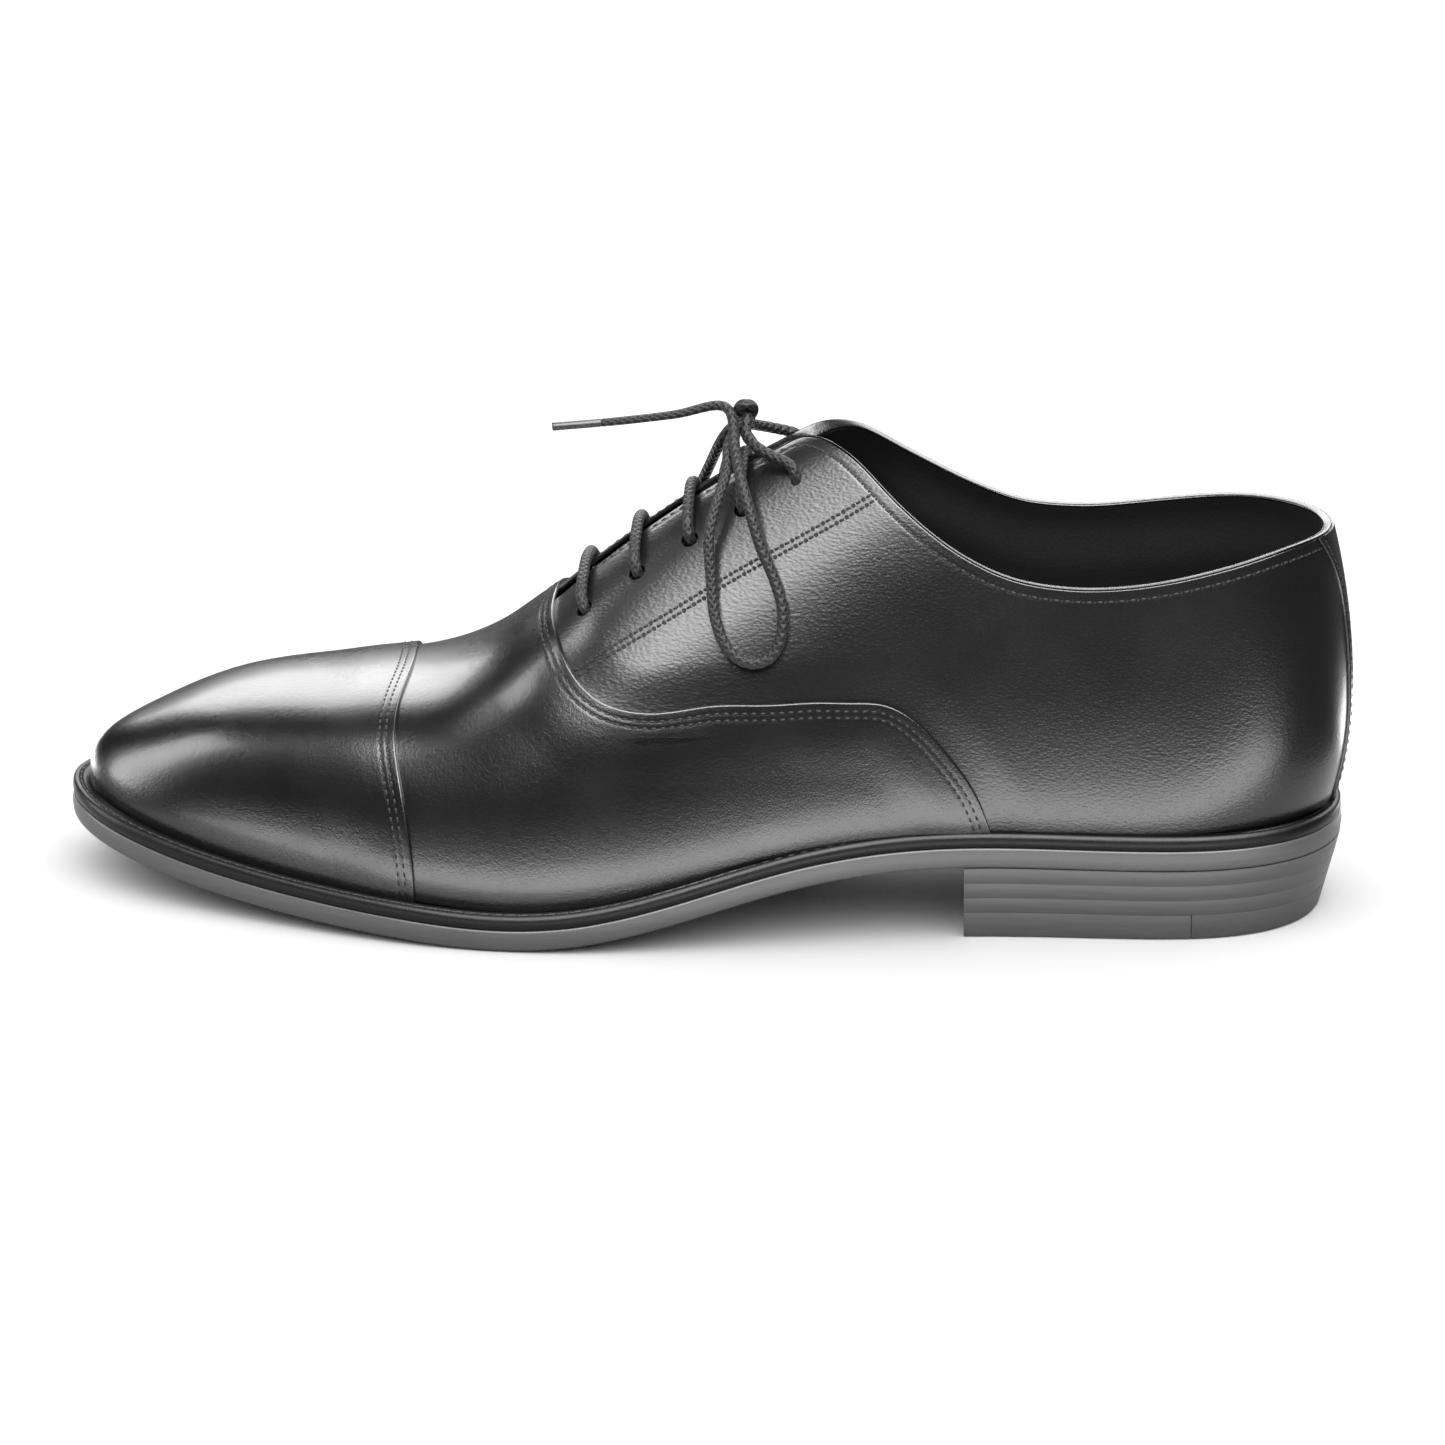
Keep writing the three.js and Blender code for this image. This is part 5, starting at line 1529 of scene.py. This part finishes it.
class SHOE_OT_stage(bpy.types.Operator):
    """Camera, pale floor and soft studio lights"""

    bl_idname = "shoe.stage"
    bl_label = "Stage"

    def execute(self, context):
        scene = context.scene
        az, el = math.radians(CAMERA_AZIMUTH), math.radians(CAMERA_ELEVATION)
        back = Vector((math.sin(az) * math.cos(el), -math.cos(az) * math.cos(el), math.sin(el)))
        data = bpy.data.cameras.new("studio_camera")
        data.lens = CAMERA_LENS
        data.shift_x, data.shift_y = CAMERA_SHIFT
        data.clip_end = 50
        camera = bpy.data.objects.new("studio_camera", data)
        scene.collection.objects.link(camera)
        camera.location = Vector(CAMERA_AIM) + back * CAMERA_DISTANCE
        camera.rotation_euler = (-back).to_track_quat("-Z", "Y").to_euler()
        scene.camera = camera
        deselect()
        bpy.ops.mesh.primitive_plane_add(size=FLOOR_SIZE, location=(0, 0, -0.0002))
        floor = context.object
        floor.name = "studio_floor"
        r = Recipe("floor_paper", specular_ior_level=0.1)
        fibres = r.noise(r.place(), 40, 3)
        paper = r.tint(fibres, (0.9, 0.9, 0.9, 1), (0.93, 0.93, 0.93, 1))
        floor.data.materials.append(r.feed(Base_Color=paper, Roughness=r.between(fibres, 0.8, 0.9)))
        looks = scene.shoe_looks
        bpy.ops.mesh.primitive_plane_add(size=1, location=(0, 0, 0.0008))
        flag = context.object
        flag.name = "studio_flag"
        flag.scale = FLAG_OPENING
        bpy.ops.object.transform_apply(location=False, rotation=False, scale=True)
        bpy.ops.object.mode_set(mode="EDIT")
        bpy.ops.mesh.select_all(action="SELECT")
        bpy.ops.mesh.extrude_edges_move()
        bpy.ops.transform.resize(value=FLAG_SPREAD)
        bpy.ops.object.mode_set(mode="OBJECT")
        bm = bmesh.new()
        bm.from_mesh(flag.data)
        inner = [f for f in bm.faces if max(abs(v.co.x) for v in f.verts) < 0.3]
        bmesh.ops.delete(bm, geom=inner, context="FACES")
        bm.to_mesh(flag.data)
        bm.free()
        flag.visible_camera = flag.visible_diffuse = flag.visible_shadow = flag.visible_transmission = False
        flag.data.materials.append(plain_finish("flag_cloth", (0.002, 0.002, 0.002), 0.95, 1.0, 60))
        off_floor = bpy.data.collections.new("lights_off_floor")
        off_floor.objects.link(floor)
        off_floor.collection_objects[0].light_linking.link_state = "EXCLUDE"
        on_floor = bpy.data.collections.new("light_on_floor")
        on_floor.objects.link(floor)
        for name, extent, radiance, place, aim in (
            ("overhead_softbox", (1.6, 1.4), looks.overhead, (0.2, -0.55, 1.2), (0, 0, 0.04)),
            ("back_softbox", (2.6, 0.9), looks.behind, (0.2, 1.4, 0.9), (0, 0, 0.1)),
            ("toe_softbox", (0.6, 1.2), looks.toe, (-1.3, 0.1, 0.5), (0, 0, 0.05)),
        ):
            soft_light(name, extent, radiance, place, aim, off_floor)
        for side, word in SIDES:
            y = -CARD_AWAY * side
            place, above = (0, y, 0.003), (0, y, 1)
            card = soft_light(f"bounce_card_{word}", CARD_SIZE, looks.card, place, above, off_floor)
            card.visible_camera = False
        sky = bpy.data.lights.new("floor_sky", "SUN")
        sky.angle = math.radians(140)
        sky.energy = looks.floor
        sky_light = bpy.data.objects.new("floor_sky", sky)
        sky_light.light_linking.receiver_collection = on_floor
        scene.collection.objects.link(sky_light)
        world = bpy.data.worlds.new("studio_air")
        scene.world = world
        world.use_nodes = True
        air = next(n for n in world.node_tree.nodes if n.type == "BACKGROUND")
        air.inputs["Color"].default_value = (1, 1, 1, 1)
        air.inputs["Strength"].default_value = looks.air
        shown = world.cycles_visibility
        shown.diffuse = shown.glossy = shown.transmission = shown.scatter = False
        scene.view_settings.view_transform = "Standard"
        return {"FINISHED"}


def length(label, default, description):
    """A size property that is written in mm and held in metres."""
    metres = {"default": default * MM, "min": 0.1 * MM, "unit": "LENGTH", "precision": 5}
    return FloatProperty(name=label, description=description, **metres)


def tone(label, default, description):
    """A colour property."""
    return FloatVectorProperty(name=label, description=description, subtype="COLOR", size=3, default=default)


def strength(label, default, description):
    """A light's brightness."""
    return FloatProperty(name=label, description=description, default=default, min=0)


class ShoeSizes(bpy.types.PropertyGroup):
    """Sizes of the leather, the seams and the lace"""

    leather: length("Upper leather", 0.85, "Thickness of the cap, the vamp and the quarters")
    lining: length("Lining", 0.8, "Thickness of the lining leather")
    lace: length("Lace", 2.6, "Diameter of the lace")
    plait: length("Plait", 2.0, "Length of one plait of the lace")
    eyelet_hole: length("Eyelet hole", 4.2, "Diameter of the punched eyelet holes")
    thread: length("Thread", 0.62, "Thickness of the seam thread")
    seam_pitch: length("Seam pitch", 2.15, "Stitch length of the cap and vamp seams")
    facing_pitch: length("Facing pitch", 2.75, "Stitch length of the facing seam")
    topline_pitch: length("Topline pitch", 2.5, "Stitch length along the free edges")
    welt_pitch: length("Welt pitch", 3.1, "Stitch length of the welt")
    first_row: length("First row", 2.0, "Distance of a seam's first row from the cut edge")
    row_gap: length("Row gap", 1.6, "Distance between the two rows of a seam")
    facing_row: length("Facing row", 1.6, "Distance of the row along the facing from its edge")
    topline_row: length("Topline row", 2.7, "Distance of the row along the topline from its edge")
    welt_inset: length("Welt seam", 1.9, "Distance of the welt seam from the welt's edge")


class ShoeLooks(bpy.types.PropertyGroup):
    """Colours of the shoe and strengths of the studio lights"""

    upper: tone("Cap and vamp", (0.0016, 0.0016, 0.0018), "Polished upper leather")
    quarter: tone("Quarters", (0.0017, 0.0017, 0.0018), "Fine grained upper leather")
    lining: tone("Lining", (0.0016, 0.0016, 0.0016), "Lining leather")
    sole: tone("Sole edge", (0.034, 0.034, 0.035), "Inked sole and heel edge")
    welt: tone("Welt", (0.001, 0.001, 0.0011), "Inked welt")
    thread: tone("Thread", (0.0045, 0.0045, 0.0048), "Waxed sewing thread")
    lace: tone("Lace", (0.0045, 0.0045, 0.0047), "Braided lace")
    overhead: strength("Overhead light", 17, "Brightness of the softbox above")
    behind: strength("Back light", 6.2, "Brightness of the softbox behind")
    toe: strength("Toe light", 8, "Brightness of the softbox before the toe")
    card: strength("Bounce cards", 6.5, "Brightness of the low cards beside the shoe")
    floor: strength("Floor light", 4.4, "Strength of the floor's own even light")
    air: strength("Backdrop", 1.0, "Brightness of the backdrop that the camera sees")


STEPS = [
    SHOE_OT_stage,
    SHOE_OT_lace,
    SHOE_OT_outsole,
    SHOE_OT_welt,
    SHOE_OT_boards,
    SHOE_OT_heel,
    SHOE_OT_toe_cap,
    SHOE_OT_vamp,
    SHOE_OT_quarters,
    SHOE_OT_back_strip,
    SHOE_OT_binding,
    SHOE_OT_linings,
    SHOE_OT_tongue,
    SHOE_OT_hidden_parts,
]


class SHOE_PT_panel(bpy.types.Panel):
    """Lists the shoe's pieces and colours in the sidebar"""

    bl_idname = "SHOE_PT_panel"
    bl_label = "Oxford shoe"
    bl_space_type = "VIEW_3D"
    bl_region_type = "UI"
    bl_category = "Oxford shoe"

    def draw(self, context):
        for group, rows in ((context.scene.shoe_sizes, ShoeSizes), (context.scene.shoe_looks, ShoeLooks)):
            for name in rows.__annotations__:
                self.layout.prop(group, name)
        for step in STEPS:
            self.layout.operator(step.bl_idname)


CLASSES = [ShoeSizes, ShoeLooks, *STEPS, SHOE_PT_panel]


def register():
    for cls in CLASSES:
        bpy.utils.register_class(cls)
    bpy.types.Scene.shoe_sizes = PointerProperty(type=ShoeSizes)
    bpy.types.Scene.shoe_looks = PointerProperty(type=ShoeLooks)


def unregister():
    del bpy.types.Scene.shoe_looks
    del bpy.types.Scene.shoe_sizes
    for cls in reversed(CLASSES):
        bpy.utils.unregister_class(cls)


def main():
    register()
    make_finishes()
    for step in STEPS:
        group, name = step.bl_idname.split(".")
        getattr(getattr(bpy.ops, group), name)()


if __name__ == "__main__":
    main()
